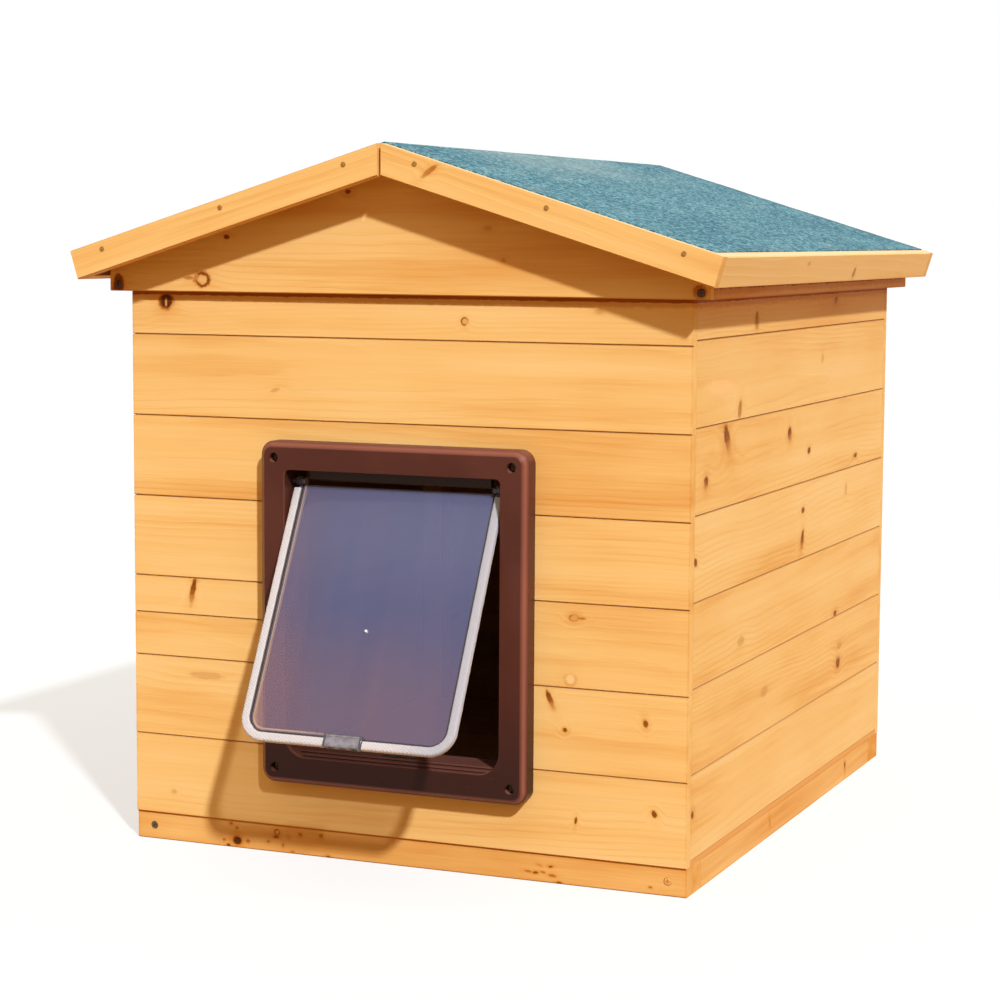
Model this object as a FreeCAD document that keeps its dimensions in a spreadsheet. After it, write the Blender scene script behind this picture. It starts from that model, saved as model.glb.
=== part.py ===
import FreeCAD, Part
import os
import re
import Sketcher

# Cat kennel: a box of tongue-and-groove pine boards on a batten base, with a lift-off pitched
# roof and a two-way pet door in its front wall.
# X runs across the front, Y from the front (negative) to the back, Z up from the floor.
# Sizes are millimetres and degrees.

COURSES = 7
# The course just below the middle has two narrow strips at its left.
STRIP_COURSE = COURSES // 2
NAILS_PER_BARGEBOARD = 3

# Edges are told apart to within this length.
SLACK = 0.001

SIZES = {
    # box walls
    "wall_width": 610,
    "wall_depth": 736,
    "board_thick": 12,
    "board_cover": 83.8,
    "strip_cover": 45,
    "joint_gap": 0.6,
    "board_arris": 0.8,
    "tongue_thick": 4,
    "tongue_length": 5,
    "tongue_fit": 0.2,
    # base
    "base_height": 29,
    "base_inset": 2.5,
    "batten_width": 42,
    "batten_arris": 1,
    "floor_thick": 5,
    "post_width": 28,
    # roof lid
    "roof_pitch": 17,
    "roof_clearance": 0.4,
    "eave_overhang": 44,
    "verge_overhang": 48,
    "deck_thick": 12,
    "felt_thick": 2.5,
    "felt_proud": 1,
    "trim_thick": 12,
    "trim_depth": 30,
    "ridge_gap": 4,
    "rim_lap": 40,
    "rim_clearance": 1,
    "gable_thick": 9,
    "skirt_thick": 19,
    "ridge_batten_width": 22,
    "ridge_batten_depth": 34,
    # pet door frame
    "door_width": 292,
    "door_height": 349,
    "door_rise": 50.2,
    "door_proud": 22,
    "door_band": 28.5,
    "door_corner": 14,
    "door_bevel": 6,
    "door_softening": 1.2,
    "opening_corner": 22,
    "opening_top_corner": 5,
    "sill_step": 2.4,
    "sill_tread": 7,
    "sleeve_wall": 4,
    "sleeve_clearance": 1.2,
    "collar_depth": 16,
    "inner_flange": 8,
    "inner_bevel": 3,
    "rib_thick": 6,
    "rib_front": 1,
    "rib_round": 2.4,
    "rib_lift": 0.8,
    "rib_end_gap": 3,
    # pet door flap
    "flap_angle": 27.6,
    "hinge_drop": 12.5,
    "flap_side_gap": 3,
    "flap_sill_gap": 1.2,
    "flap_corner": 26,
    "flap_head": 4.5,
    "panel_thick": 3,
    "panel_lap": 4.8,
    "seal_width": 9.3,
    "seal_thick": 7,
    "seal_head": 8.7,
    "seal_fit": 0.1,
    "lug_radius": 4.5,
    "lug_length": 12,
    "pin_radius": 2.5,
    "pin_clearance": 0.1,
    "clip_width": 41,
    "clip_height": 13.2,
    "clip_thick": 10,
    "clip_lap": 6.5,
    "clip_edge": 1,
    "magnet_radius": 3.4,
    "magnet_tall": 4,
    "magnet_spacing": 12,
    "sill_magnet_width": 36,
    "sill_magnet_deep": 7,
    "sill_magnet_tall": 3,
    # screws and nails
    "screw_shank": 4,
    "screw_head": 8,
    "screw_head_tall": 2.5,
    "screw_clearance": 0.2,
    "door_hole_inset": 16.5,
    "door_hole_width": 10,
    "door_hole_deep": 9,
    "base_screw_inset": 19.5,
    "base_screw_bite": 24,
    "gable_screw_lift": 6.5,
    "gable_screw_bite": 26,
    "nail_shank": 2.4,
    "nail_head": 5,
    "nail_head_tall": 0.8,
    "nail_inset": 38,
    "nail_drop": 8.7,
}

# Lengths that several pieces share, written in the names of the sheet.
HALF_W = "(wall_width / 2)"
HALF_D = "(wall_depth / 2)"
WALL_TOP = f"(base_height + {COURSES} * board_cover)"
FLOOR_TOP = "(base_height + floor_thick)"
SIDE_TOP = f"({WALL_TOP} + roof_clearance)"
RIDGE = f"({SIDE_TOP} + {HALF_W} * tan(roof_pitch))"
RIM = f"({SIDE_TOP} - rim_lap)"
RIM_OUT = f"({HALF_W} + rim_clearance + skirt_thick)"
TRIM_RISE = "(deck_thick + felt_thick - felt_proud)"
EAVE_X = f"({HALF_W} + eave_overhang)"
EAVE_Z = f"({RIDGE} + {TRIM_RISE} / cos(roof_pitch) - {EAVE_X} * tan(roof_pitch))"
DECK_LENGTH = "(wall_depth + 2 * (verge_overhang - trim_thick))"
LID_INSIDE = "(wall_depth + 2 * rim_clearance)"
DOOR_Z = "(base_height + door_rise)"
HALF_OPENING = "(door_width / 2 - door_band)"
OPENING_TOP = "(door_height - door_band)"
SILL_TOP = "(door_band + 2 * sill_step)"
HINGE_Z = f"({OPENING_TOP} - hinge_drop)"
SLEEVE_HALF = f"({HALF_OPENING} + sleeve_wall)"
CUT_HALF = f"({SLEEVE_HALF} + sleeve_clearance)"
CUT_BOTTOM = f"({DOOR_Z} + door_band - sleeve_wall - sleeve_clearance)"
CUT_TOP = f"({DOOR_Z} + {OPENING_TOP} + sleeve_wall + sleeve_clearance)"
FLAP_HALF = f"({HALF_OPENING} - flap_side_gap)"
FLAP_DROP = f"({HINGE_Z} - {SILL_TOP} - flap_sill_gap)"
PANEL_HALF = f"({FLAP_HALF} - seal_width + panel_lap)"
PANEL_DROP = f"({FLAP_DROP} - seal_width + panel_lap)"
CLIP_TOP = f"({FLAP_DROP} - clip_height)"
DOOR_HOLE_X = "(door_width / 2 - door_hole_inset)"
SCREW_HOLE = "(screw_shank + 2 * screw_clearance)"
HEAD_HOLE = "(screw_head + 2 * screw_clearance)"
SKIRT_MID = f"({HALF_W} + rim_clearance + skirt_thick / 2)"
BASE_SCREW_X = f"({HALF_W} - base_screw_inset)"
THROUGH = "wall_width"

doc = FreeCAD.newDocument("cat_kennel")
sheet = doc.addObject("Spreadsheet::Sheet", "Sizes")
for row, (alias, value) in enumerate(SIZES.items(), start=1):
    sheet.set(f"A{row}", alias.replace("_", " "))
    sheet.set(f"B{row}", str(value))
    sheet.setAlias(f"B{row}", alias)
doc.recompute()


def cells(text):
    """Return an expression in which every size is named as a cell of the sheet."""
    return re.sub(r"[a-z_]+", lambda word: f"Sizes.{word[0]}" if word[0] in SIZES else word[0], text)


def amount(text):
    """Return the present value of an expression as a number."""
    return float(sheet.evalExpression(cells(text)))


def new_body(label, spot=("0", "0", "0"), axis=(0, 0, 1), angle="0"):
    """Start a named body at a spot, turned about an axis by an angle."""
    body = doc.addObject("PartDesign::Body", label)
    body.Label = label
    body.AllowCompound = True
    turn = FreeCAD.Rotation(FreeCAD.Vector(*axis), amount(angle))
    body.Placement = FreeCAD.Placement(FreeCAD.Vector(), turn)
    for name, value in zip("xyz", spot):
        body.setExpression(f"Placement.Base.{name}", cells(value))
    if angle != "0":
        body.setExpression("Placement.Rotation.Angle", cells(angle))
    return body


def new_sketch(body, name, role, lift="0"):
    """Start a sketch on one of the body's origin planes, lifted along the plane's normal."""
    plane = next(item for item in body.Origin.OriginFeatures if item.Role == role)
    sketch = body.newObject("Sketcher::SketchObject", f"{body.Name}_{name}")
    sketch.AttachmentSupport = (plane, [""])
    sketch.MapMode = "FlatFace"
    sketch.setExpression("AttachmentOffset.Base.z", cells(lift))
    return sketch


def place_point(sketch, geometry, position, point):
    """Hold a sketch point at the two expressions of its place."""
    for kind, text in zip(("DistanceX", "DistanceY"), point):
        index = sketch.addConstraint(Sketcher.Constraint(kind, -1, 1, geometry, position, amount(text)))
        sketch.setExpression(f"Constraints[{index}]", cells(text))


def outline(body, name, role, *loops, lift="0"):
    """Sketch closed outlines from corner points given as pairs of expressions."""
    sketch = new_sketch(body, name, role, lift)
    for points in loops:
        corners = [FreeCAD.Vector(amount(across), amount(up), 0) for across, up in points]
        first = sketch.GeometryCount
        count = len(points)
        for index in range(count):
            sketch.addGeometry(Part.LineSegment(corners[index], corners[(index + 1) % count]))
        for index in range(count):
            following = first + (index + 1) % count
            sketch.addConstraint(Sketcher.Constraint("Coincident", first + index, 2, following, 1))
        for index, point in enumerate(points):
            place_point(sketch, first + index, 1, point)
    return sketch


def circles(body, name, role, centres, diameter, lift="0"):
    """Sketch equal circles about centres given as pairs of expressions."""
    sketch = new_sketch(body, name, role, lift)
    for centre in centres:
        middle = FreeCAD.Vector(amount(centre[0]), amount(centre[1]), 0)
        radius = amount(diameter) / 2
        geometry = sketch.addGeometry(Part.Circle(middle, FreeCAD.Vector(0, 0, 1), radius))
        place_point(sketch, geometry, 3, centre)
        index = sketch.addConstraint(Sketcher.Constraint("Diameter", geometry, 2 * radius))
        sketch.setExpression(f"Constraints[{index}]", cells(diameter))
    return sketch


def box_outline(low, high):
    """Return the corners of a rectangle between two opposite corners."""
    return [(low[0], low[1]), (high[0], low[1]), (high[0], high[1]), (low[0], high[1])]


def extrude(body, sketch, kind, length, side="One side", flip=False):
    """Add a Pad or Pocket of a sketch."""
    feature = body.newObject(f"PartDesign::{kind}", f"{sketch.Name}_{kind.lower()}")
    feature.Profile = sketch
    feature.setExpression("Length", cells(length))
    feature.SideType = side
    feature.Reversed = flip
    doc.recompute()
    return feature


def pad(body, sketch, length, side="One side", flip=False):
    """Add material along the sketch's normal."""
    return extrude(body, sketch, "Pad", length, side, flip)


def pocket(body, sketch, length):
    """Cut to both sides of the sketch, by half the length each way."""
    return extrude(body, sketch, "Pocket", length, "Symmetric")


def dress(body, kind, test, size):
    """Add a Fillet or Chamfer on the edges of the tip that pass a test."""
    base = body.Tip
    names = [f"Edge{number}" for number, edge in enumerate(base.Shape.Edges, start=1) if test(edge)]
    feature = body.newObject(f"PartDesign::{kind}", f"{body.Name}_{kind.lower()}")
    feature.Base = (base, names)
    feature.setExpression("Radius" if kind == "Fillet" else "Size", cells(size))
    doc.recompute()
    return feature


def lies(edge, **places):
    """Tell whether an edge lies within given coordinates, each a number or several numbers."""
    box = edge.BoundBox
    for name, wanted in places.items():
        low, high = getattr(box, f"{name.upper()}Min"), getattr(box, f"{name.upper()}Max")
        choices = wanted if isinstance(wanted, tuple) else (wanted,)
        if not any(abs(low - place) < SLACK and abs(high - place) < SLACK for place in choices):
            return False
    return True


def runs(edge, name):
    """Tell whether an edge is straight and parallel to an axis."""
    spans = {axis: getattr(edge.BoundBox, f"{axis.upper()}Length") for axis in "xyz"}
    return spans[name] > SLACK and all(span < SLACK for axis, span in spans.items() if axis != name)


def board(label, length, spot, turn, height="board_cover", foot="groove", head="tongue"):
    """Make a wall board whose outer face looks along the turned -Y and whose length is centred."""
    body = new_body(label, spot, angle=turn)
    tongue_back = "(board_thick - tongue_thick) / 2 + tongue_thick"
    tongue_front = "(board_thick - tongue_thick) / 2"
    heads = {
        "tongue": [
            ("0", f"{height} - joint_gap / 2 - board_arris"),
            ("board_arris", f"{height} - joint_gap / 2"),
            (tongue_front, f"{height} - joint_gap / 2"),
            (tongue_front, f"{height} + tongue_length"),
            (tongue_back, f"{height} + tongue_length"),
            (tongue_back, height),
            ("board_thick", height),
        ],
        "flat": [
            ("0", f"{height} - board_arris"),
            ("board_arris", height),
            ("board_thick", height),
        ],
        "bevel": [
            ("0", height),
            ("board_thick", f"{height} + board_thick * tan(roof_pitch)"),
        ],
    }
    feet = {
        "groove": [
            ("board_thick", "0"),
            (f"{tongue_back} + tongue_fit", "0"),
            (f"{tongue_back} + tongue_fit", "tongue_length + tongue_fit"),
            (f"{tongue_front} - tongue_fit", "tongue_length + tongue_fit"),
            (f"{tongue_front} - tongue_fit", "joint_gap / 2"),
            ("board_arris", "joint_gap / 2"),
            ("0", "joint_gap / 2 + board_arris"),
        ],
        "flat": [
            ("board_thick", "0"),
            ("board_arris", "0"),
            ("0", "board_arris"),
        ],
    }
    section = outline(body, "section", "YZ_Plane", heads[head] + feet[foot])
    pad(body, section, length, "Symmetric")
    return body


def ends(course):
    """Return the foot and head shapes of a board by its course."""
    return "flat" if course == 1 else "groove", "flat" if course == COURSES else "tongue"


def make_base():
    """Make the batten base, the floor sheet and the corner posts."""
    low, high = f"-{HALF_W}", HALF_W
    across = "wall_depth - 2 * (base_inset + batten_width)"
    screws = [(f"-{BASE_SCREW_X}", "base_height / 2"), (BASE_SCREW_X, "base_height / 2")]
    for name, sign, turn in (("front", "-", "0"), ("back", "", "180")):
        body = new_body(f"base_batten_{name}", ("0", f"{sign}({HALF_D} - base_inset)", "0"), angle=turn)
        face = outline(body, "face", "XZ_Plane", box_outline((low, "0"), (high, "base_height")))
        pad(body, face, "batten_width", flip=True)
        dress(body, "Chamfer", lambda edge: lies(edge, y=0.0) and runs(edge, "x"), "batten_arris")
        pocket(body, circles(body, "bores", "XZ_Plane", screws, SCREW_HOLE), THROUGH)
        head = circles(body, "heads", "XZ_Plane", screws, HEAD_HOLE)
        pocket(body, head, "2 * screw_head_tall")
    for name, sign in (("left", "-"), ("right", "")):
        middle = f"{HALF_W} - batten_width / 2"
        body = new_body(f"base_batten_{name}", (f"{sign}({middle})", "0", "0"))
        face = outline(body, "face", "XZ_Plane",
                       box_outline(("-batten_width / 2", "0"), ("batten_width / 2", "base_height")))
        pad(body, face, across, "Symmetric")
        bore = [(f"{sign}({BASE_SCREW_X} - ({middle}))", "base_height / 2")]
        for end, way in (("front", ""), ("back", "-")):
            hole = circles(body, f"bore_{end}", "XZ_Plane", bore, SCREW_HOLE, lift=f"{way}({across}) / 2")
            pocket(body, hole, "2 * base_screw_bite + 2 * screw_clearance")
    joist = new_body("base_centre_joist")
    face = outline(joist, "face", "XZ_Plane",
                   box_outline(("-batten_width / 2", "0"), ("batten_width / 2", "base_height")))
    pad(joist, face, across, "Symmetric")

    floor = new_body("floor_sheet", ("0", "0", "base_height"))
    deep = f"{HALF_D} - board_thick"
    plan = box_outline((low, f"-({deep})"), (high, deep))
    pad(floor, outline(floor, "plan", "XY_Plane", plan), "floor_thick")

    posts = new_body("corner_posts", ("0", "0", FLOOR_TOP))
    inner_x, inner_y = f"({HALF_W} - board_thick)", f"({deep})"
    plans = [box_outline((f"{right}{inner_x}", f"{back}{inner_y}"),
                         (f"{right}({inner_x} - post_width)", f"{back}({inner_y} - post_width)"))
             for right in ("-", "") for back in ("-", "")]
    pad(posts, outline(posts, "plans", "XY_Plane", *plans), f"{WALL_TOP} - {FLOOR_TOP}")
    near_x, near_y = amount(f"{inner_x} - post_width"), amount(f"{inner_y} - post_width")
    dress(posts, "Chamfer", lambda edge: lies(edge, x=(-near_x, near_x), y=(-near_y, near_y)), "batten_arris")

    heads = new_body("base_screws")
    for end, way in (("front", ""), ("back", "-")):
        lift = f"{way}({HALF_D} - base_inset - screw_head_tall)"
        shank = circles(heads, f"shank_{end}", "XZ_Plane", screws, "screw_shank", lift)
        length = "batten_width - screw_head_tall + base_screw_bite"
        pad(heads, shank, length, flip=way == "")
        head = circles(heads, f"head_{end}", "XZ_Plane", screws, "screw_head", lift)
        pad(heads, head, "screw_head_tall", flip=way == "-")


def cut_for_door(body, level):
    """Cut the pet door's gap and screw bores where they reach a front board that stands at a level."""
    foot = amount(level)
    head = foot + amount("board_cover + tongue_length")
    if amount(CUT_BOTTOM) < head and amount(CUT_TOP) > foot:
        gap = box_outline((f"-{CUT_HALF}", f"{CUT_BOTTOM} - ({level})"), (CUT_HALF, f"{CUT_TOP} - ({level})"))
        pocket(body, outline(body, "door_gap", "XZ_Plane", gap), THROUGH)
    reach = amount(SCREW_HOLE) / 2
    for name, height in (("low", "door_hole_inset"), ("high", "door_height - door_hole_inset")):
        if foot - reach < amount(f"{DOOR_Z} + {height}") < head + reach:
            places = [(f"{sign}{DOOR_HOLE_X}", f"{DOOR_Z} + {height} - ({level})") for sign in ("-", "")]
            pocket(body, circles(body, f"bores_{name}", "XZ_Plane", places, SCREW_HOLE), THROUGH)


def make_front_wall():
    """Make the front boards, cut round the pet door, or split where the door takes their whole height."""
    side_length = f"{HALF_W} - {CUT_HALF}"
    side_middle = f"({HALF_W} + {CUT_HALF}) / 2"
    for course in range(1, COURSES + 1):
        foot, head = ends(course)
        level = f"base_height + {course - 1} * board_cover"
        name = f"front_board_{course}"
        if amount(CUT_BOTTOM) > amount(level) or amount(CUT_TOP) < amount(f"{level} + board_cover"):
            body = board(name, "wall_width", ("0", f"-{HALF_D}", level), "0", "board_cover", foot, head)
            cut_for_door(body, level)
            continue
        board(f"{name}_right", side_length, (side_middle, f"-{HALF_D}", level), "0")
        spot = (f"-({side_middle})", f"-{HALF_D}", level)
        if course == STRIP_COURSE:
            board(f"{name}_left_lower", side_length, spot, "0", "strip_cover")
            upper = (spot[0], spot[1], f"{level} + strip_cover")
            board(f"{name}_left_upper", side_length, upper, "0", "(board_cover - strip_cover)")
        else:
            board(f"{name}_left", side_length, spot, "0")


def make_side_walls():
    """Make the side boards between the front and back boards, bevelled at the top to the roof."""
    length = "wall_depth - 2 * board_thick"
    for name, sign, turn in (("left", "-", "-90"), ("right", "", "90")):
        for course in range(1, COURSES + 1):
            foot = ends(course)[0]
            level = f"{FLOOR_TOP} + {course - 1} * board_cover"
            height, head = "board_cover", "tongue"
            if course == COURSES:
                height, head = f"({SIDE_TOP} - ({level}))", "bevel"
            board(f"{name}_board_{course}", length, (f"{sign}{HALF_W}", "0", level), turn, height, foot, head)


def make_back_wall():
    """Make the back boards as one group of separate boards."""
    pieces = []
    for course in range(1, COURSES + 1):
        foot, head = ends(course)
        level = f"base_height + {course - 1} * board_cover"
        pieces.append(board(f"back_course_{course}", "wall_width", ("0", HALF_D, level), "180", "board_cover",
                            foot, head))
    wall = doc.addObject("Part::Compound", "back_boards")
    wall.Label = "back_boards"
    wall.Links = pieces
    doc.recompute()


def slope_point(along, down, sign=""):
    """Return a point of the roof's section: up the slope from the eave and down from the trim's top."""
    across = f"{EAVE_X} - ({along}) * cos(roof_pitch) - ({down}) * sin(roof_pitch)"
    height = f"{EAVE_Z} + ({along}) * sin(roof_pitch) - ({down}) * cos(roof_pitch)"
    return f"{sign}({across})", height


def plumb_point(across, down, sign=""):
    """Return a point of the roof's section straight below the trim's top, down square to the slope."""
    height = f"{EAVE_Z} + ({EAVE_X} - ({across})) * tan(roof_pitch) - ({down}) / cos(roof_pitch)"
    return f"{sign}({across})", height


def nail_places():
    """Return the nails of one pair of bargeboards, evenly spaced along each slope."""
    places = []
    for sign in ("-", ""):
        for index in range(NAILS_PER_BARGEBOARD):
            step = f"({EAVE_X} - 2 * nail_inset) / {NAILS_PER_BARGEBOARD - 1}"
            places.append(plumb_point(f"nail_inset + {index} * {step}", "nail_drop", sign))
    return places


def make_roof():
    """Make the lift-off lid: rim, decks, felt, trim and their fasteners."""
    under = TRIM_RISE
    deck_top = "felt_thick - felt_proud"
    rim_corner = f"{RIDGE} - {RIM_OUT} * tan(roof_pitch)"
    rim_screws = [(f"{sign}{SKIRT_MID}", f"{RIM} + gable_screw_lift") for sign in ("-", "")]
    gable = [(f"-{RIM_OUT}", RIM), (RIM_OUT, RIM), (RIM_OUT, rim_corner), ("0", RIDGE),
             (f"-{RIM_OUT}", rim_corner)]
    for name, sign, turn in (("front", "-", "0"), ("back", "", "180")):
        body = new_body(f"gable_{name}", ("0", f"{sign}({HALF_D} + rim_clearance)", "0"), angle=turn)
        pad(body, outline(body, "face", "XZ_Plane", gable), "gable_thick")
        dress(body, "Chamfer", lambda edge: lies(edge, z=amount(RIM), y=-amount("gable_thick")),
              "batten_arris")
        pocket(body, circles(body, "bores", "XZ_Plane", rim_screws, SCREW_HOLE), THROUGH)
        head = circles(body, "heads", "XZ_Plane", rim_screws, HEAD_HOLE, lift="gable_thick")
        pocket(body, head, "2 * screw_head_tall")

    for name, sign in (("left", "-"), ("right", "")):
        inner = f"{HALF_W} + rim_clearance"
        body = new_body(f"rim_batten_{name}")
        section = [(f"{sign}({inner})", RIM), (f"{sign}{RIM_OUT}", RIM), (f"{sign}{RIM_OUT}", rim_corner),
                   (f"{sign}({inner})", f"{RIDGE} - ({inner}) * tan(roof_pitch)")]
        pad(body, outline(body, "section", "XZ_Plane", section), LID_INSIDE, "Symmetric")
        hole = [(f"{sign}{SKIRT_MID}", f"{RIM} + gable_screw_lift")]
        for end, way in (("front", ""), ("back", "-")):
            bore = circles(body, f"bore_{end}", "XZ_Plane", hole, SCREW_HOLE, lift=f"{way}{LID_INSIDE} / 2")
            pocket(body, bore, "2 * gable_screw_bite + 2 * screw_clearance")

        body = new_body(f"roof_deck_{name}")
        section = [plumb_point("0", under), slope_point("trim_thick", under, sign),
                   slope_point("trim_thick", deck_top, sign), plumb_point("0", deck_top)]
        pad(body, outline(body, "section", "XZ_Plane", section), DECK_LENGTH, "Symmetric")

        body = new_body(f"eave_fascia_{name}")
        section = [slope_point("0", "batten_arris", sign), slope_point("batten_arris", "0", sign),
                   slope_point("trim_thick", "0", sign), slope_point("trim_thick", "trim_depth", sign),
                   slope_point("0", "trim_depth", sign)]
        pad(body, outline(body, "section", "XZ_Plane", section), DECK_LENGTH, "Symmetric")

        for end, way, turn in (("front", "-", "0"), ("back", "", "180")):
            facing = sign if end == "front" else {"": "-", "-": ""}[sign]
            spot = ("0", f"{way}{DECK_LENGTH} / 2", "0")
            body = new_body(f"bargeboard_{end}_{name}", spot, angle=turn)
            face = [slope_point("0", "0", facing), slope_point("0", "trim_depth", facing),
                    plumb_point("ridge_gap / 2", "trim_depth", facing),
                    plumb_point("ridge_gap / 2", "0", facing)]
            pad(body, outline(body, "face", "XZ_Plane", face), "trim_thick")
            dress(body, "Chamfer", lambda edge: lies(edge, y=-amount("trim_thick"))
                  and edge.Length > amount("2 * trim_depth"), "batten_arris")
            nails = [place for place in nail_places() if place[0].startswith("-") == (facing == "-")]
            bore = circles(body, "bores", "XZ_Plane", nails, "nail_shank + 2 * screw_clearance")
            pocket(body, bore, THROUGH)

    felt = new_body("roof_felt")
    section = [slope_point("trim_thick", deck_top), slope_point("trim_thick", "-felt_proud"),
               plumb_point("0", "-felt_proud"), slope_point("trim_thick", "-felt_proud", "-"),
               slope_point("trim_thick", deck_top, "-"), plumb_point("0", deck_top)]
    pad(felt, outline(felt, "section", "XZ_Plane", section), DECK_LENGTH, "Symmetric")

    ridge = new_body("ridge_batten")
    side = "ridge_batten_width / 2"
    shoulder = f"{RIDGE} - {side} * tan(roof_pitch)"
    section = [(f"-{side}", f"{RIDGE} - ridge_batten_depth"), (side, f"{RIDGE} - ridge_batten_depth"),
               (side, shoulder), ("0", RIDGE), (f"-{side}", shoulder)]
    pad(ridge, outline(ridge, "section", "XZ_Plane", section), LID_INSIDE, "Symmetric")

    screws = new_body("gable_screws")
    nails = new_body("bargeboard_nails")
    for end, way in (("front", ""), ("back", "-")):
        seat = f"{way}({HALF_D} + rim_clearance + gable_thick - screw_head_tall)"
        shank = circles(screws, f"shank_{end}", "XZ_Plane", rim_screws, "screw_shank", seat)
        pad(screws, shank, "gable_thick - screw_head_tall + gable_screw_bite", flip=way == "")
        head = circles(screws, f"head_{end}", "XZ_Plane", rim_screws, "screw_head", seat)
        pad(screws, head, "screw_head_tall", flip=way == "-")

        face = f"{way}({HALF_D} + verge_overhang)"
        shank = circles(nails, f"shank_{end}", "XZ_Plane", nail_places(), "nail_shank", face)
        pad(nails, shank, "trim_thick", flip=way == "")
        head = circles(nails, f"head_{end}", "XZ_Plane", nail_places(), "nail_head", face)
        pad(nails, head, "nail_head_tall", flip=way == "-")


def door_holes():
    """Return the places of the pet door's corner screws above the frame's foot."""
    heights = ("door_hole_inset", "door_height - door_hole_inset")
    return [(f"{sign}{DOOR_HOLE_X}", height) for sign in ("-", "") for height in heights]


def make_door_frame():
    """Make the pet door's outer and inner frames, its sill magnet and its screws."""
    spot = ("0", f"-{HALF_D}", DOOR_Z)
    half, tall = amount("door_width / 2"), amount("door_height")
    front = -amount("door_proud")

    frame = new_body("door_outer_frame", spot)
    around = box_outline(("-door_width / 2", "0"), ("door_width / 2", "door_height"))
    pad(frame, outline(frame, "flange", "XZ_Plane", around), "door_proud")
    dress(frame, "Fillet", lambda edge: runs(edge, "y") and lies(edge, x=(-half, half)), "door_corner")
    dress(frame, "Chamfer", lambda edge: lies(edge, y=front), "door_bevel")
    soft = front + amount("door_bevel")
    dress(frame, "Fillet", lambda edge: lies(edge, y=(front, soft)), "door_softening")
    back = "board_thick + collar_depth"
    sleeve = box_outline((f"-{SLEEVE_HALF}", "door_band - sleeve_wall"),
                         (SLEEVE_HALF, f"{OPENING_TOP} + sleeve_wall"))
    pad(frame, outline(frame, "sleeve", "XZ_Plane", sleeve), back, flip=True)
    hole = box_outline((f"-{HALF_OPENING}", "door_band"), (HALF_OPENING, OPENING_TOP))
    pocket(frame, outline(frame, "opening", "XZ_Plane", hole), THROUGH)
    wide, low, high = amount(HALF_OPENING), amount("door_band"), amount(OPENING_TOP)
    for level, radius in ((low, "opening_corner"), (high, "opening_top_corner")):
        dress(frame, "Fillet", lambda edge: runs(edge, "y") and lies(edge, x=(-wide, wide), z=level), radius)
    dress(frame, "Fillet", lambda edge: lies(edge, y=front) and edge.BoundBox.XMax < wide + SLACK
          and edge.BoundBox.XMin > -wide - SLACK, "door_softening")
    nose = "(sill_tread - door_proud)"
    riser = f"({nose} + sill_tread)"
    steps = [(nose, "door_band - sleeve_wall / 2"), (nose, "door_band + sill_step - door_softening"),
             (f"{nose} + door_softening", "door_band + sill_step"), (riser, "door_band + sill_step"),
             (riser, f"{SILL_TOP} - door_softening"), (f"{riser} + door_softening", SILL_TOP),
             (back, SILL_TOP), (back, "door_band - sleeve_wall / 2")]
    # The steps end inside the rounded corners.
    sill_length = f"2 * {HALF_OPENING} - opening_corner / 2"
    pad(frame, outline(frame, "sill", "YZ_Plane", steps), sill_length, "Symmetric")
    rib_foot = f"{HINGE_Z} + rib_lift"
    rib = box_outline(("-rib_front", rib_foot), ("rib_thick - rib_front", f"{OPENING_TOP} + sleeve_wall / 2"))
    pad(frame, outline(frame, "rib", "YZ_Plane", rib),
        f"2 * ({FLAP_HALF} - lug_length - rib_end_gap)", "Symmetric")
    dress(frame, "Fillet", lambda edge: runs(edge, "x") and lies(edge, z=amount(rib_foot)), "rib_round")
    pins = circles(frame, "hinge_bores", "YZ_Plane", [("0", HINGE_Z)], "2 * (pin_radius + pin_clearance)")
    pocket(frame, pins, f"2 * {SLEEVE_HALF}")
    pocket(frame, circles(frame, "bores", "XZ_Plane", door_holes(), SCREW_HOLE), THROUGH)
    sink = circles(frame, "counterbores", "XZ_Plane", door_holes(), "door_hole_width", lift="door_proud")
    pocket(frame, sink, "2 * door_hole_deep")
    slot_half = ("sill_magnet_width / 2 + screw_clearance", "sill_magnet_deep / 2 + screw_clearance")
    slot = box_outline((f"-({slot_half[0]})", f"-({slot_half[1]})"), slot_half)
    pocket(frame, outline(frame, "magnet_slot", "XY_Plane", slot, lift=SILL_TOP), "2 * sill_magnet_tall")

    magnet = new_body("sill_magnet", (spot[0], spot[1], f"{DOOR_Z} + {SILL_TOP} - sill_magnet_tall"))
    plan = box_outline(("-sill_magnet_width / 2", "-sill_magnet_deep / 2"),
                       ("sill_magnet_width / 2", "sill_magnet_deep / 2"))
    pad(magnet, outline(magnet, "plan", "XY_Plane", plan), "sill_magnet_tall")

    inner = new_body("door_inner_frame", (spot[0], f"-{HALF_D} + board_thick", DOOR_Z))
    pad(inner, outline(inner, "flange", "XZ_Plane", around), "inner_flange", flip=True)
    dress(inner, "Fillet", lambda edge: runs(edge, "y") and lies(edge, x=(-half, half)), "door_corner")
    dress(inner, "Chamfer", lambda edge: lies(edge, y=amount("inner_flange")), "inner_bevel")
    collar = box_outline((f"-({SLEEVE_HALF} + sleeve_wall)", "door_band - 2 * sleeve_wall"),
                         (f"{SLEEVE_HALF} + sleeve_wall", f"{OPENING_TOP} + 2 * sleeve_wall"))
    pad(inner, outline(inner, "collar", "XZ_Plane", collar), "collar_depth", flip=True)
    room = box_outline((f"-({SLEEVE_HALF} + screw_clearance)", "door_band - sleeve_wall - screw_clearance"),
                       (f"{SLEEVE_HALF} + screw_clearance", f"{OPENING_TOP} + sleeve_wall + screw_clearance"))
    pocket(inner, outline(inner, "room", "XZ_Plane", room), THROUGH)
    pocket(inner, circles(inner, "bores", "XZ_Plane", door_holes(), SCREW_HOLE), THROUGH)

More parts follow.
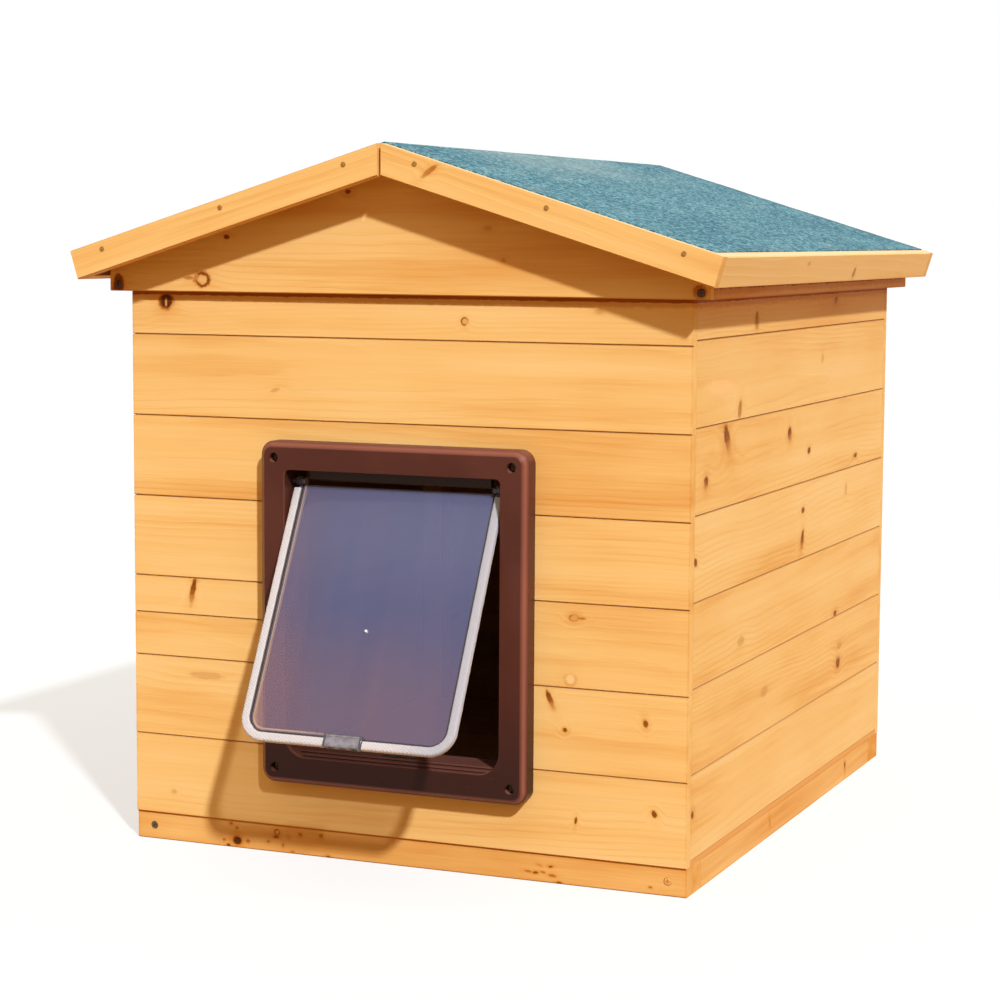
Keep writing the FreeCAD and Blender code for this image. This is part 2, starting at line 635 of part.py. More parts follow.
    screws = new_body("door_screws", spot)
    seat = "door_proud - door_hole_deep"
    shank = circles(screws, "shank", "XZ_Plane", door_holes(), "screw_shank", lift=seat)
    pad(screws, shank, f"{seat} + board_thick + inner_flange", flip=True)
    pad(screws, circles(screws, "head", "XZ_Plane", door_holes(), "screw_head", lift=seat), "screw_head_tall")


def make_flap():
    """Make the swinging flap about its hinge line, with its pile seal, magnet clip and magnets."""
    spot = ("0", f"-{HALF_D}", f"{DOOR_Z} + {HINGE_Z}")
    outward = {"axis": (-1, 0, 0), "angle": "flap_angle"}
    ear = f"({FLAP_HALF} - lug_length)"
    half_clip = "(clip_width / 2 + seal_fit)"
    notch = f"-({CLIP_TOP} + clip_lap)"

    panel = new_body("flap_panel", spot, **outward)
    face = [(f"-{PANEL_HALF}", f"-{PANEL_DROP}"), (f"-{half_clip}", f"-{PANEL_DROP}"),
            (f"-{half_clip}", notch), (half_clip, notch), (half_clip, f"-{PANEL_DROP}"),
            (PANEL_HALF, f"-{PANEL_DROP}"),
            (PANEL_HALF, "0"), (ear, "0"), (ear, "-flap_head"), (f"-{ear}", "-flap_head"), (f"-{ear}", "0"),
            (f"-{PANEL_HALF}", "0")]
    pad(panel, outline(panel, "face", "XZ_Plane", face), "panel_thick", "Symmetric")
    wide, drop = amount(PANEL_HALF), -amount(PANEL_DROP)
    dress(panel, "Fillet", lambda edge: runs(edge, "y") and lies(edge, x=(-wide, wide), z=drop),
          "flap_corner - seal_width + panel_lap")
    for side, sign in (("left", "-"), ("right", "")):
        pin_end = f"({SLEEVE_HALF} - pin_clearance)"
        lug = circles(panel, f"lug_{side}", "YZ_Plane", [("0", "0")], "2 * lug_radius", lift=f"{sign}{ear}")
        pad(panel, lug, "lug_length", flip=sign == "-")
        pin = circles(panel, f"pin_{side}", "YZ_Plane", [("0", "0")], "2 * pin_radius", lift=f"{sign}{ear}")
        pad(panel, pin, f"{pin_end} - {ear}", flip=sign == "-")

    seal = new_body("flap_seal", spot, **outward)
    inner_x, inner_z = f"({FLAP_HALF} - seal_width)", f"-({FLAP_DROP} - seal_width)"
    face = [(f"-{FLAP_HALF}", "-seal_head"), (f"-{FLAP_HALF}", f"-{FLAP_DROP}"), (FLAP_HALF, f"-{FLAP_DROP}"),
            (FLAP_HALF, "-seal_head"), (inner_x, "-seal_head"), (inner_x, inner_z), (f"-{inner_x}", inner_z),
            (f"-{inner_x}", "-seal_head")]
    pad(seal, outline(seal, "face", "XZ_Plane", face), "seal_thick", "Symmetric")
    outer = (amount(FLAP_HALF), -amount(FLAP_DROP))
    within = (amount(inner_x), amount(inner_z))
    dress(seal, "Fillet", lambda edge: runs(edge, "y") and lies(edge, x=(-outer[0], outer[0]), z=outer[1]),
          "flap_corner")
    dress(seal, "Fillet", lambda edge: runs(edge, "y") and lies(edge, x=(-within[0], within[0]), z=within[1]),
          "flap_corner - seal_width")
    slot = box_outline((f"-({PANEL_HALF} + seal_fit)", f"-({PANEL_DROP} + seal_fit)"),
                       (f"{PANEL_HALF} + seal_fit", "0"))
    pocket(seal, outline(seal, "slot", "XZ_Plane", slot), "panel_thick + 2 * seal_fit")
    gap = box_outline((f"-{half_clip}", f"-2 * {FLAP_DROP}"), (half_clip, f"-{CLIP_TOP}"))
    pocket(seal, outline(seal, "clip_gap", "XZ_Plane", gap), "2 * seal_thick")

    clip = new_body("flap_clip", spot, **outward)
    face = box_outline(("-clip_width / 2", f"-{FLAP_DROP}"), ("clip_width / 2", f"-{CLIP_TOP}"))
    pad(clip, outline(clip, "face", "XZ_Plane", face), "clip_thick", "Symmetric")
    front = amount("clip_thick / 2")
    dress(clip, "Fillet", lambda edge: lies(edge, y=(-front, front)), "clip_edge")
    slot = box_outline(("-clip_width", f"{notch} - seal_fit"), ("clip_width", "0"))
    pocket(clip, outline(clip, "slot", "XZ_Plane", slot), "panel_thick + 2 * seal_fit")
    spots = [(f"{step} * magnet_spacing", "0") for step in (-1, 0, 1)]
    bores = circles(clip, "bores", "XY_Plane", spots, "2 * (magnet_radius + seal_fit)", lift=f"-{FLAP_DROP}")
    pocket(clip, bores, "2 * magnet_tall")

    magnets = new_body("flap_magnets", spot, **outward)
    discs = circles(magnets, "discs", "XY_Plane", spots, "2 * magnet_radius", lift=f"-{FLAP_DROP}")
    pad(magnets, discs, "magnet_tall")


def write_parts():
    """Check every object and write each named sub-part to its own file."""
    os.makedirs("parts", exist_ok=True)
    grouped = [piece for item in doc.Objects if item.TypeId == "Part::Compound" for piece in item.Links]
    written = 0
    for item in doc.Objects:
        if "Invalid" in item.State or "Error" in item.State:
            raise RuntimeError(f"{item.Name} did not recompute: {item.State}")
        if item.TypeId not in ("PartDesign::Body", "Part::Compound") or item in grouped:
            continue
        if item.Shape.isNull() or not item.Shape.isValid() or not item.Shape.Solids:
            raise RuntimeError(f"{item.Label} has no valid solid")
        item.Shape.exportStep(os.path.join("parts", f"{item.Label}.step"))
        written += 1
    print(f"wrote {written} sub-parts")


make_base()
make_front_wall()
make_side_walls()
make_back_wall()
make_roof()
make_door_frame()
make_flap()
doc.recompute()
write_parts()
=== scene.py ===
"""Looks of a cat kennel: stained pine boards, a felted lift-off roof and a two-way pet door."""

import logging
import math
import random
from contextlib import contextmanager
from dataclasses import dataclass, field
from enum import Enum
from typing import Any, Callable, Iterator, Sequence

import bmesh
import bpy
from mathutils import Euler, Matrix, Vector


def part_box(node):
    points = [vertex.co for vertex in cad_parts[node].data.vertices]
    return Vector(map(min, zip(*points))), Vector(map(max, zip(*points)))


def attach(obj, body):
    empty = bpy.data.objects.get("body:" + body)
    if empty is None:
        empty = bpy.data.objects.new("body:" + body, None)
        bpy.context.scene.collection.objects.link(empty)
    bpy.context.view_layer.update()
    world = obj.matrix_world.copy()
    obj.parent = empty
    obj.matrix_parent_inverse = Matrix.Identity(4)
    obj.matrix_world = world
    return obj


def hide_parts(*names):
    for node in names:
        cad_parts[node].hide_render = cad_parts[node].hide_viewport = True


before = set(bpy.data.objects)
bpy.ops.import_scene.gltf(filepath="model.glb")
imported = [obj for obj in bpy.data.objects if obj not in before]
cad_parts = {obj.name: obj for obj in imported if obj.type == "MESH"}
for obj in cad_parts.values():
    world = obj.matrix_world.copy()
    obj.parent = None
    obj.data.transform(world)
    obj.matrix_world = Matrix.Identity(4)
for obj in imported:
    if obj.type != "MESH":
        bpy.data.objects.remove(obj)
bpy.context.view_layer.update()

MM = 0.001
SAME = 0.001 * MM
DOUBLED = 0.005 * MM
STRAIGHT = 0.01 * MM
SLACK = 0.1 * MM
ROOF_PITCH = math.radians(17)
LOG = logging.getLogger("cat_kennel")

Colour = tuple[float, float, float]
Waves = tuple[float, float, float]
Span = tuple[float, float]


class Body(Enum):
    """The bodies that move on their own."""

    BOX = "kennel_box"
    LID = "roof_lid"
    FLAP = "flap"


class Grain(Enum):
    """Which way the fibres of a wooden piece run, as the turn from X to that way."""

    ACROSS = (0.0, 0.0, 0.0)
    FORE_AND_AFT = (0.0, 0.0, math.pi / 2)
    UPRIGHT = (0.0, -math.pi / 2, 0.0)
    DOWN_RIGHT = (0.0, ROOF_PITCH, 0.0)
    DOWN_LEFT = (0.0, -ROOF_PITCH, 0.0)


@dataclass(frozen=True)
class Tint:
    """How strongly a mark in the wood shows.

    Attributes:
        core: darkness of its middle.
        rim: darkness of a ring round its edge.
        halo: darkness of the wood round it.
        pale: how far its middle is lightened.
        fade: how much of the core is lost towards its lower end.
        split: how pale the crack across its middle is.
    """

    core: float
    rim: float
    halo: float
    pale: float
    fade: float = 0.0
    split: float = 0.0


class MarkKind(Enum):
    """Kinds of marks in the pine."""

    DARK = Tint(0.72, 0.20, 0.55, 0.0)
    DEAD = Tint(0.95, 0.70, 0.70, 0.0, 0.0, 0.7)
    BLACK = Tint(0.95, 0.60, 0.80, 0.0)
    RING = Tint(0.20, 0.72, 0.50, 0.25)
    EYE = Tint(0.12, 0.78, 0.40, 0.30)
    PLUG = Tint(0.0, 0.22, 0.25, 0.80)
    SPIKE = Tint(0.78, 0.20, 0.50, 0.0, 0.6)
    STREAK = Tint(0.52, 0.10, 0.35, 0.0, 0.3)
    FAINT = Tint(0.20, 0.05, 0.25, 0.0)
    PALE = Tint(0.0, 0.0, 0.0, 0.80)
    MILKY = Tint(0.0, 0.0, 0.0, 0.60)
    # The last two kinds are painted shade, for bands under the lid's edge.
    SHADE_LINE = Tint(0.62, 0.0, 0.0, 0.0)
    SMEAR = Tint(0.24, 0.0, 0.0, 0.0)


@dataclass(frozen=True)
class Mark:
    """A knot, a stain or a band of painted shade on a face, in millimetres on the face.

    Attributes:
        along: place along the face.
        height: place above the ground.
        half_wide: half its width.
        half_tall: half its height.
        tilt: its lean in degrees.
        kind: how it looks.
    """

    along: float
    height: float
    half_wide: float
    half_tall: float
    tilt: float
    kind: MarkKind


def marks(*rows: tuple) -> tuple[Mark, ...]:
    """Return marks from rows of their fields."""
    return tuple(Mark(*row) for row in rows)


# Marks of each face that the photograph shows.
FRONT_MARKS = marks(
    (-265, 566, 8.9, 8.2, 1, MarkKind.DEAD),
    (70, 551, 3.7, 3.9, 0, MarkKind.RING),
    (-139, 478, 5.7, 2.1, -16, MarkKind.FAINT),
    (210, 563, 5.1, 2.9, 0, MarkKind.FAINT),
    (-236, 267, 3.6, 16.3, 12, MarkKind.SPIKE),
    (-221, 179, 23.7, 4.2, 0, MarkKind.FAINT),
    (187, 266, 4.7, 3.2, 0, MarkKind.RING),
    (195, 266, 5.0, 1.3, 0, MarkKind.STREAK),
    (184, 205, 6.3, 5.9, 0, MarkKind.PLUG),
    (163, 184, 3.2, 11.5, -23, MarkKind.SPIKE),
    (179, 155, 2.6, 2.5, 0, MarkKind.DARK),
    (262, 168, 3.1, 4.4, -14, MarkKind.DARK),
    (191, 66, 1.6, 4.1, 7, MarkKind.DARK),
    (272, 80, 3.1, 4.6, -20, MarkKind.DARK),
    (-260, 53, 3.6, 2.7, 0, MarkKind.FAINT),
)
PLINTH_MARKS = marks(
    (-187, 8, 5.4, 4.8, 0, MarkKind.BLACK),
    (-194, 25, 2.4, 1.8, 0, MarkKind.STREAK),
    (-187, 21, 1.8, 1.8, 0, MarkKind.STREAK),
    (-202, 7, 2.4, 1.8, 0, MarkKind.STREAK),
    (-197, 2, 2.6, 1.6, 0, MarkKind.DARK),
    (-174, 8, 3.0, 2.4, 0, MarkKind.STREAK),
    (-140, 21, 3.2, 3.4, 0, MarkKind.EYE),
    (-141, 16, 3.4, 1.5, 0, MarkKind.DARK),
    (-150, 10, 1.8, 1.6, 0, MarkKind.STREAK),
    (-133, 8, 1.5, 2.6, 0, MarkKind.STREAK),
    (-127, 17, 2.4, 2.0, 0, MarkKind.FAINT),
    (-122, 2, 2.2, 1.3, 0, MarkKind.STREAK),
    (-113, 21, 2.5, 2.3, 0, MarkKind.STREAK),
    (-89, 22, 3.0, 2.8, 0, MarkKind.STREAK),
    (-81, 1, 2.6, 1.6, 0, MarkKind.DARK),
    (140, 9.5, 4.4, 1.3, 4, MarkKind.STREAK),
    (148, 9, 3.2, 1.5, -6, MarkKind.DARK),
    (156, 10, 3.0, 1.2, 8, MarkKind.STREAK),
    (152, 17, 3.4, 1.2, 20, MarkKind.FAINT),
    (164, 16.5, 2.6, 1.3, -10, MarkKind.DARK),
    (166, 7.5, 5.0, 2.0, 5, MarkKind.STREAK),
    (173, 1.5, 3.2, 1.2, 0, MarkKind.DARK),
    (268, 7, 2.6, 1.3, 0, MarkKind.STREAK),
)
GABLE_MARKS = marks(
    (-217, 589, 9.3, 7.8, 0, MarkKind.EYE),
    (-232, 590, 6.5, 2.2, 0, MarkKind.STREAK),
    (-52, 677, 3.8, 2.9, 0, MarkKind.DARK),
    (-188, 632, 4.0, 3.0, 0, MarkKind.DARK),
    (99, 642, 5.2, 2.9, 0, MarkKind.FAINT),
    (115, 611, 3.1, 2.4, 0, MarkKind.FAINT),
    (-35, 650, 2.2, 2.9, 0, MarkKind.PALE),
    # The last two marks darken the gable's ends round its screws: painted shade.
    (-315, 584, 8.0, 12.0, 0, MarkKind.DARK),
    (315, 583, 8.5, 8.0, 0, MarkKind.STREAK),
)
BARGE_MARKS = marks((53, 695, 3.1, 12.2, 54, MarkKind.STREAK))
RIGHT_MARKS = marks(
    (-258, 437, 9.7, 18.5, -35, MarkKind.SPIKE),
    (-323, 399, 6.9, 7.1, 23, MarkKind.SPIKE),
    (-39, 426, 7.6, 8.6, -30, MarkKind.SPIKE),
    (37, 403, 7.0, 4.2, -4, MarkKind.DARK),
    (234, 382, 8.0, 3.0, -5, MarkKind.DARK),
    (195, 346, 5.6, 7.5, 4, MarkKind.FAINT),
    (17, 339, 6.9, 3.9, -4, MarkKind.DARK),
    (16, 306, 6.3, 12.9, 19, MarkKind.SPIKE),
    (-352, 325, 6.0, 4.3, 24, MarkKind.DARK),
    (-218, 463, 6.7, 11.4, 21, MarkKind.STREAK),
    (-165, 550, 7.6, 10.2, -3, MarkKind.STREAK),
    (136, 565, 8.5, 4.8, -4, MarkKind.STREAK),
    (85, 502, 5.1, 5.6, -4, MarkKind.FAINT),
    (158, 206, 7.6, 3.8, -4, MarkKind.DARK),
    (175, 146, 8.8, 7.0, 3, MarkKind.DARK),
    (179, 165, 11.1, 4.8, -4, MarkKind.FAINT),
    (-118, 161, 14.5, 5.9, -3, MarkKind.FAINT),
    (-203, 227, 13.6, 5.7, -3, MarkKind.FAINT),
    (-351, 79, 5.3, 4.1, 31, MarkKind.DARK),
    (-285, 490, 52.0, 7.0, 2, MarkKind.MILKY),
)
FASCIA_MARKS = marks(
    (69, 596, 6.4, 6.4, -46, MarkKind.STREAK),
    (-122, 608, 5.6, 2.6, -4, MarkKind.FAINT),
)
# Painted shade: the wood is darkened along the lower edge of the lid, all the way round, where its shadow
# falls; it shows also when the lid is lifted.
LID_SHADE_MARKS = marks(
    (0, 575, 3000, 3.4, 0, MarkKind.SHADE_LINE),
    (0, 574, 3000, 7.5, 0, MarkKind.SMEAR),
)
# Painted shade along the top of the rim battens, under the fascias.
RIM_SHADE_MARKS = marks(
    (0, 590, 3000, 5.5, 0, MarkKind.SHADE_LINE),
    (0, 588, 3000, 8.5, 0, MarkKind.SMEAR),
)


class Value:
    """A number that changes over a surface. Arithmetic on it adds Math nodes."""

    def __init__(self, sheet: "NodeSheet", socket: bpy.types.NodeSocket) -> None:
        """Wrap a socket of a node sheet."""
        self.sheet = sheet
        self.socket = socket

    def __add__(self, other: "Value | float") -> "Value":
        """Add."""
        return self.sheet.math("ADD", self, other)

    def __radd__(self, other: float) -> "Value":
        """Add from the left."""
        return self.sheet.math("ADD", other, self)

    def __sub__(self, other: "Value | float") -> "Value":
        """Subtract."""
        return self.sheet.math("SUBTRACT", self, other)

    def __rsub__(self, other: float) -> "Value":
        """Subtract from a number."""
        return self.sheet.math("SUBTRACT", other, self)

    def __mul__(self, other: "Value | float") -> "Value":
        """Multiply."""
        return self.sheet.math("MULTIPLY", self, other)

    def __rmul__(self, other: float) -> "Value":
        """Multiply from the left."""
        return self.sheet.math("MULTIPLY", other, self)

    def __truediv__(self, other: "Value | float") -> "Value":
        """Divide."""
        return self.sheet.math("DIVIDE", self, other)

    def __rtruediv__(self, other: float) -> "Value":
        """Divide a number."""
        return self.sheet.math("DIVIDE", other, self)

    def __abs__(self) -> "Value":
        """Drop the sign."""
        return self.sheet.math("ABSOLUTE", self)

    def root(self) -> "Value":
        """Return the square root."""
        return self.sheet.math("SQRT", self)

    def fraction(self) -> "Value":
        """Return what is left of the whole number below."""
        return self.sheet.math("FRACT", self)

    def greater(self, other: "Value | float") -> "Value":
        """Return the greater of two values."""
        return self.sheet.math("MAXIMUM", self, other)

    def lesser(self, other: "Value | float") -> "Value":
        """Return the lesser of two values."""
        return self.sheet.math("MINIMUM", self, other)

    def rise(self, low: float, high: float) -> "Value":
        """Return a smooth step from 0 at one value to 1 at another.

        Args:
            low: where the step starts.
            high: where it ends.

        Returns:
            The step, between 0 and 1.
        """
        return self.sheet.node("ShaderNodeMapRange", {"interpolation_type": "SMOOTHSTEP"},
                               {"Value": self, "From Min": low, "From Max": high}, "Result")

    def fall(self, low: float, high: float) -> "Value":
        """Return a smooth step from 1 at one value to 0 at another."""
        return 1.0 - self.rise(low, high)


@dataclass(frozen=True)
class Lie:
    """How a piece lies: its middle, its turn, and half its size along, through and across."""

    middle: tuple[float, float, float]
    turn: tuple[float, float, float]
    half: tuple[float, float, float]

    def local(self, point: Vector) -> Vector:
        """Return a point of the frame in the piece's own directions."""
        return Euler(self.turn).to_matrix().transposed() @ (point - Vector(self.middle))

    @staticmethod
    def of_node(node: str, grain: Grain) -> "Lie":
        """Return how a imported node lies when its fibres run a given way.

        Args:
            node: name of the node.
            grain: which way its fibres run.

        Returns:
            Its lie, with half sizes measured on its mesh.
        """
        low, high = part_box(node)
        middle = (low + high) / 2
        back = Euler(grain.value).to_matrix().transposed()
        half = [0.0, 0.0, 0.0]
        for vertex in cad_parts[node].data.vertices:
            reach = back @ (vertex.co - middle)
            half = [max(size, abs(part)) for size, part in zip(half, reach)]
        return Lie(tuple(middle), grain.value, tuple(half))


class NodeSheet:
    """The shader nodes of one finish."""

    def __init__(self, owner: bpy.types.Material | bpy.types.World) -> None:
        """Start with no nodes but the coordinates.

        Args:
            owner: the new material or world.
        """
        self.owner = owner
        owner.use_nodes = True
        self.tree = owner.node_tree
        self.tree.nodes.clear()
        self.coordinates = self.tree.nodes.new("ShaderNodeTexCoord")

    @classmethod
    def named(cls, name: str) -> "NodeSheet":
        """Start the sheet of a new material."""
        return cls(bpy.data.materials.new(name))

    def node(self, kind: str, settings: dict[str, Any] | None = None,
             sockets: dict[str | int, Any] | None = None, out: str | int = 0) -> Value:
        """Add one node.

        Args:
            kind: the node's type.
            settings: its own settings, set first; stops fill a colour ramp.
            sockets: values or links of its inputs, by name or number.
            out: name or number of the output to return.

        Returns:
            The chosen output.
        """
        made = self.tree.nodes.new(kind)
        for name, value in (settings or {}).items():
            if name == "stops":
                self.fill_ramp(made.color_ramp, value)
            else:
                setattr(made, name, value)
        for name, value in (sockets or {}).items():
            if isinstance(value, Value):
                self.tree.links.new(value.socket, made.inputs[name])
            else:
                made.inputs[name].default_value = value
        return Value(self, made.outputs[out])

    @staticmethod
    def fill_ramp(ramp: bpy.types.ColorRamp, stops: Sequence[tuple[float, Colour]]) -> None:
        """Set the stops of a colour ramp.

        Args:
            ramp: the ramp.
            stops: places between 0 and 1 with their colours.
        """
        while len(ramp.elements) < len(stops):
            ramp.elements.new(1.0)
        for element, (place, colour) in zip(ramp.elements, stops):
            element.position = place
            element.color = (*colour, 1.0)

    def math(self, operation: str, *parts: "Value | float") -> Value:
        """Add a Math node."""
        return self.node("ShaderNodeMath", {"operation": operation}, dict(enumerate(parts)))

    def mix(self, share: "Value | float", first: "Value | Colour", second: "Value | Colour") -> Value:
        """Mix two colours.

        Args:
            share: how much of the second.
            first: colour at a share of 0.
            second: colour at a share of 1.

        Returns:
            The mixed colour.
        """
        pair = [part if isinstance(part, Value) else (*part, 1.0) for part in (first, second)]
        return self.node("ShaderNodeMix", {"data_type": "RGBA", "clamp_factor": True},
                         {0: share, 6: pair[0], 7: pair[1]}, 2)

    def ramp(self, share: Value, *stops: tuple[float, Colour]) -> Value:
        """Return the colour of a ramp at a share between 0 and 1."""
        return self.node("ShaderNodeValToRGB", {"stops": stops}, {"Fac": share}, "Color")

    def spot(self) -> Value:
        """Return the place in the frame."""
        return Value(self, self.coordinates.outputs["Object"])

    def place(self, lie: Lie) -> Value:
        """Return the place on a piece in its own directions."""
        return self.node("ShaderNodeMapping", {"vector_type": "TEXTURE"},
                         {"Vector": self.spot(), "Location": lie.middle, "Rotation": lie.turn})

    def parts(self, vector: Value) -> list[Value]:
        """Return the three parts of a vector."""
        first = self.node("ShaderNodeSeparateXYZ", None, {"Vector": vector})
        return [Value(self, socket) for socket in first.socket.node.outputs]

    def facing(self, way: Sequence[float]) -> Value:
        """Return how far the surface faces a way, from -1 to 1."""
        normal = Value(self, self.coordinates.outputs["Normal"])
        return self.node("ShaderNodeVectorMath", {"operation": "DOT_PRODUCT"},
                         {0: normal, 1: tuple(way)}, "Value")

    def noise(self, place: Value, stretch: Sequence[float], seed: float = 0.0,
              detail: float = 2.0, rough: float = 0.5) -> Value:
        """Return soft noise.

        Args:
            place: where on the piece.
            stretch: waves per metre along the three directions.
            seed: shifts the pattern.
            detail: how many finer layers.
            rough: how strong they are.

        Returns:
            Noise about 0.5.
        """
        spot = self.node("ShaderNodeMapping", None,
                         {"Vector": place, "Location": (seed, 1.7 * seed, -seed), "Scale": tuple(stretch)})
        return self.node("ShaderNodeTexNoise", None,
                         {"Vector": spot, "Scale": 1.0, "Detail": detail, "Roughness": rough}, "Fac")

    def cells(self, place: Value, per_metre: float) -> Value:
        """Return one random number for each small cell."""
        return self.parts(self.node("ShaderNodeTexVoronoi", None,
                                    {"Vector": place, "Scale": per_metre}, "Color"))[0]

    def finish(self, colour: Value, roughness: Value, height: Value, depth: float,
               **others: "Value | float") -> bpy.types.Material:
        """Close the sheet with a shader.

        Args:
            colour: base colour.
            roughness: roughness.
            height: relief from 0 to 1.
            depth: how deep the relief is, in metres.
            others: other sockets of the shader, with spaces as underscores.

        Returns:
            The finished material.
        """
        relief = self.node("ShaderNodeBump", None, {"Height": height, "Distance": depth, "Strength": 1.0})
        sockets: dict[str | int, Any] = {"Base Color": colour, "Roughness": roughness, "Normal": relief}
        for name, value in others.items():
            sockets[name.replace("_", " ")] = value
        self.close(self.node("ShaderNodeBsdfPrincipled", None, sockets))
        return self.owner

    def close(self, shader: Value, output: str = "ShaderNodeOutputMaterial") -> None:
        """Join a shader to the output."""
        made = self.tree.nodes.new(output)
        self.tree.links.new(shader.socket, made.inputs["Surface"])

    def seen(self) -> Value:
        """Tell what the camera sees from what only lights other things.

        Returns:
            1 for what is seen directly, mirrored or through something clear, and else 0.
        """
        camera = self.node("ShaderNodeLightPath", None, None, "Is Camera Ray")
        rays = camera.socket.node.outputs
        mirrored = Value(self, rays["Is Glossy Ray"])
        through = Value(self, rays["Is Transmission Ray"])
        return camera.greater(mirrored).greater(through)


@dataclass(frozen=True)
class PineFinish:
    """Stained pine: growth rings as the board cuts them, fibres, knots and darkened joints; faces that look
    up get a painted highlight with some sun bleaching, and backs get painted shade.
    """

    deep: Colour = (0.66, 0.275, 0.042)
    honey: Colour = (0.82, 0.538, 0.203)
    pale: Colour = (0.87, 0.650, 0.324)
    # Faces that look up: partly sun bleaching, partly painted highlight.
    bleached_and_lit: Colour = (0.80, 0.600, 0.400)
    seam: Colour = (0.50, 0.260, 0.070)
    amber: Colour = (0.40, 0.135, 0.014)
    knot: Colour = (0.085, 0.024, 0.006)
    plug: Colour = (0.92, 0.620, 0.290)
    # Painted shade for the back faces.
    back_shade: Colour = (0.30, 0.145, 0.050)
    pith_deep: Span = (30 * MM, 95 * MM)
    pith_across: float = 55 * MM
    ring_gap: float = 4.6 * MM
    ring_drift: float = 50 * MM
    ring_waver: float = 4 * MM
    ring_bend: float = 9 * MM
    taper: float = 0.012
    tone: float = 0.52
    tone_spread: float = 0.07
    seam_wide: float = 2.0 * MM
    joint_edge: float = 0.4 * MM
    butt_edge: float = 0.3 * MM
    roughness: float = 0.55
    relief: float = 0.35 * MM
    drift_waves: Waves = (1.5, 5, 5)
    waver_waves: Waves = (11, 24, 24)
    line_waves: Waves = (2.5, 34, 34)
    fibre_waves: Waves = (14, 520, 520)
    streak_waves: Waves = (1.4, 46, 46)
    cloud_waves: Waves = (4, 8, 10)
    outline_waves: Waves = (130, 130, 130)
    patch_waves: Waves = (90, 90, 90)

    def paint(self, name: str, lie: Lie, spots: Sequence[Mark], seed: int,
              inward: Sequence[float] = (0, 0, 0)) -> bpy.types.Material:
        """Make the finish of one board.

        Args:
            name: name of the material.
            lie: how the board lies.
            spots: its knots and stains, and bands of painted shade.
            seed: makes it differ from the other boards.
            inward: the way its unstained back faces; that face gets painted shade.

        Returns:
            The material.
        """
        draw = random.Random(seed)
        shift = draw.uniform(0, 90)
        pith_deep = draw.choice((-1, 1)) * draw.uniform(*self.pith_deep)
        pith_across = draw.uniform(-self.pith_across, self.pith_across)
        board_tone = self.tone + draw.uniform(-self.tone_spread, self.tone_spread)
        sheet = NodeSheet.named(name)
        place = sheet.place(lie)
        along, deep, across = sheet.parts(place)
        turned = Euler(lie.turn).to_matrix()

        core, rim, halo, pale, bend = self.mark_masks(sheet, lie, place, spots, shift)
        drift = (sheet.noise(place, self.drift_waves, shift) - 0.5) * self.ring_drift
        waver = (sheet.noise(place, self.waver_waves, shift + 7) - 0.5) * self.ring_waver
        from_pith = deep - pith_deep
        off_pith = across - pith_across + drift
        radius = (from_pith * from_pith + off_pith * off_pith).root() + along * self.taper + waver + bend
        ring = (radius / self.ring_gap).fraction()
        lines = sheet.noise(place, self.line_waves, shift + 29).rise(0.36, 0.68)
        late = ring.rise(0.25, 0.88) * ring.fall(0.88, 1.0) * (0.25 + lines)

        fibre = sheet.noise(place, self.fibre_waves, shift + 3, 3.0, 0.6)
        streak = sheet.noise(place, self.streak_waves, shift + 11)
        cloud = sheet.noise(place, self.cloud_waves, shift + 19)
        end = abs(sheet.facing(turned @ Vector((1, 0, 0)))).rise(0.6, 0.8)
        joint = abs(across).rise(lie.half[2] - self.seam_wide, lie.half[2] - self.joint_edge)
        butt = abs(along).rise(lie.half[0] - self.seam_wide, lie.half[0] - self.butt_edge)
        upward = sheet.facing((0, 0, 1)).rise(0.6, 0.95)
        edgeward = abs(sheet.facing(turned @ Vector((0, 0, 1))))
        arris = edgeward.rise(0.45, 0.60) * edgeward.fall(0.82, 0.92)
        shade = (board_tone + (streak - 0.5) * 0.75 + (cloud - 0.5) * 0.75 + (fibre - 0.5) * 0.32
                 - late * 0.065 - halo * 0.30 - joint.greater(butt * 0.6) * (1.0 - end) * 0.30)
        colour = sheet.ramp(shade, (0.0, self.deep), (0.5, self.honey), (1.0, self.pale))
        # Painted highlight, with some sun bleaching, where the face looks up.
        colour = sheet.mix(upward * (0.55 + streak * 0.4), colour, self.bleached_and_lit)
        colour = sheet.mix(arris * 0.7, colour, self.seam)
        colour = sheet.mix(pale, colour, self.plug)
        stain = core.greater(rim) + (fibre - 0.5) * 0.5 * core
        colour = sheet.mix(stain * 1.7, colour, self.amber)
        colour = sheet.mix(stain * 2.2 - 1.1, colour, self.knot)
        # Painted shade on the back faces.
        back_shade = sheet.facing(inward).rise(0.7, 0.9) * (0.75 + (streak - 0.5) * 0.6)
        colour = sheet.mix(back_shade, colour, self.back_shade)
        roughness = self.roughness + (fibre - 0.5) * 0.22 + late * 0.05 + end * 0.15
        height = fibre * 0.35 + late * 0.25 - core * 0.30 - rim * 0.20 + 0.35
        return sheet.finish(colour, roughness, height, self.relief, Specular_IOR_Level=0.08)

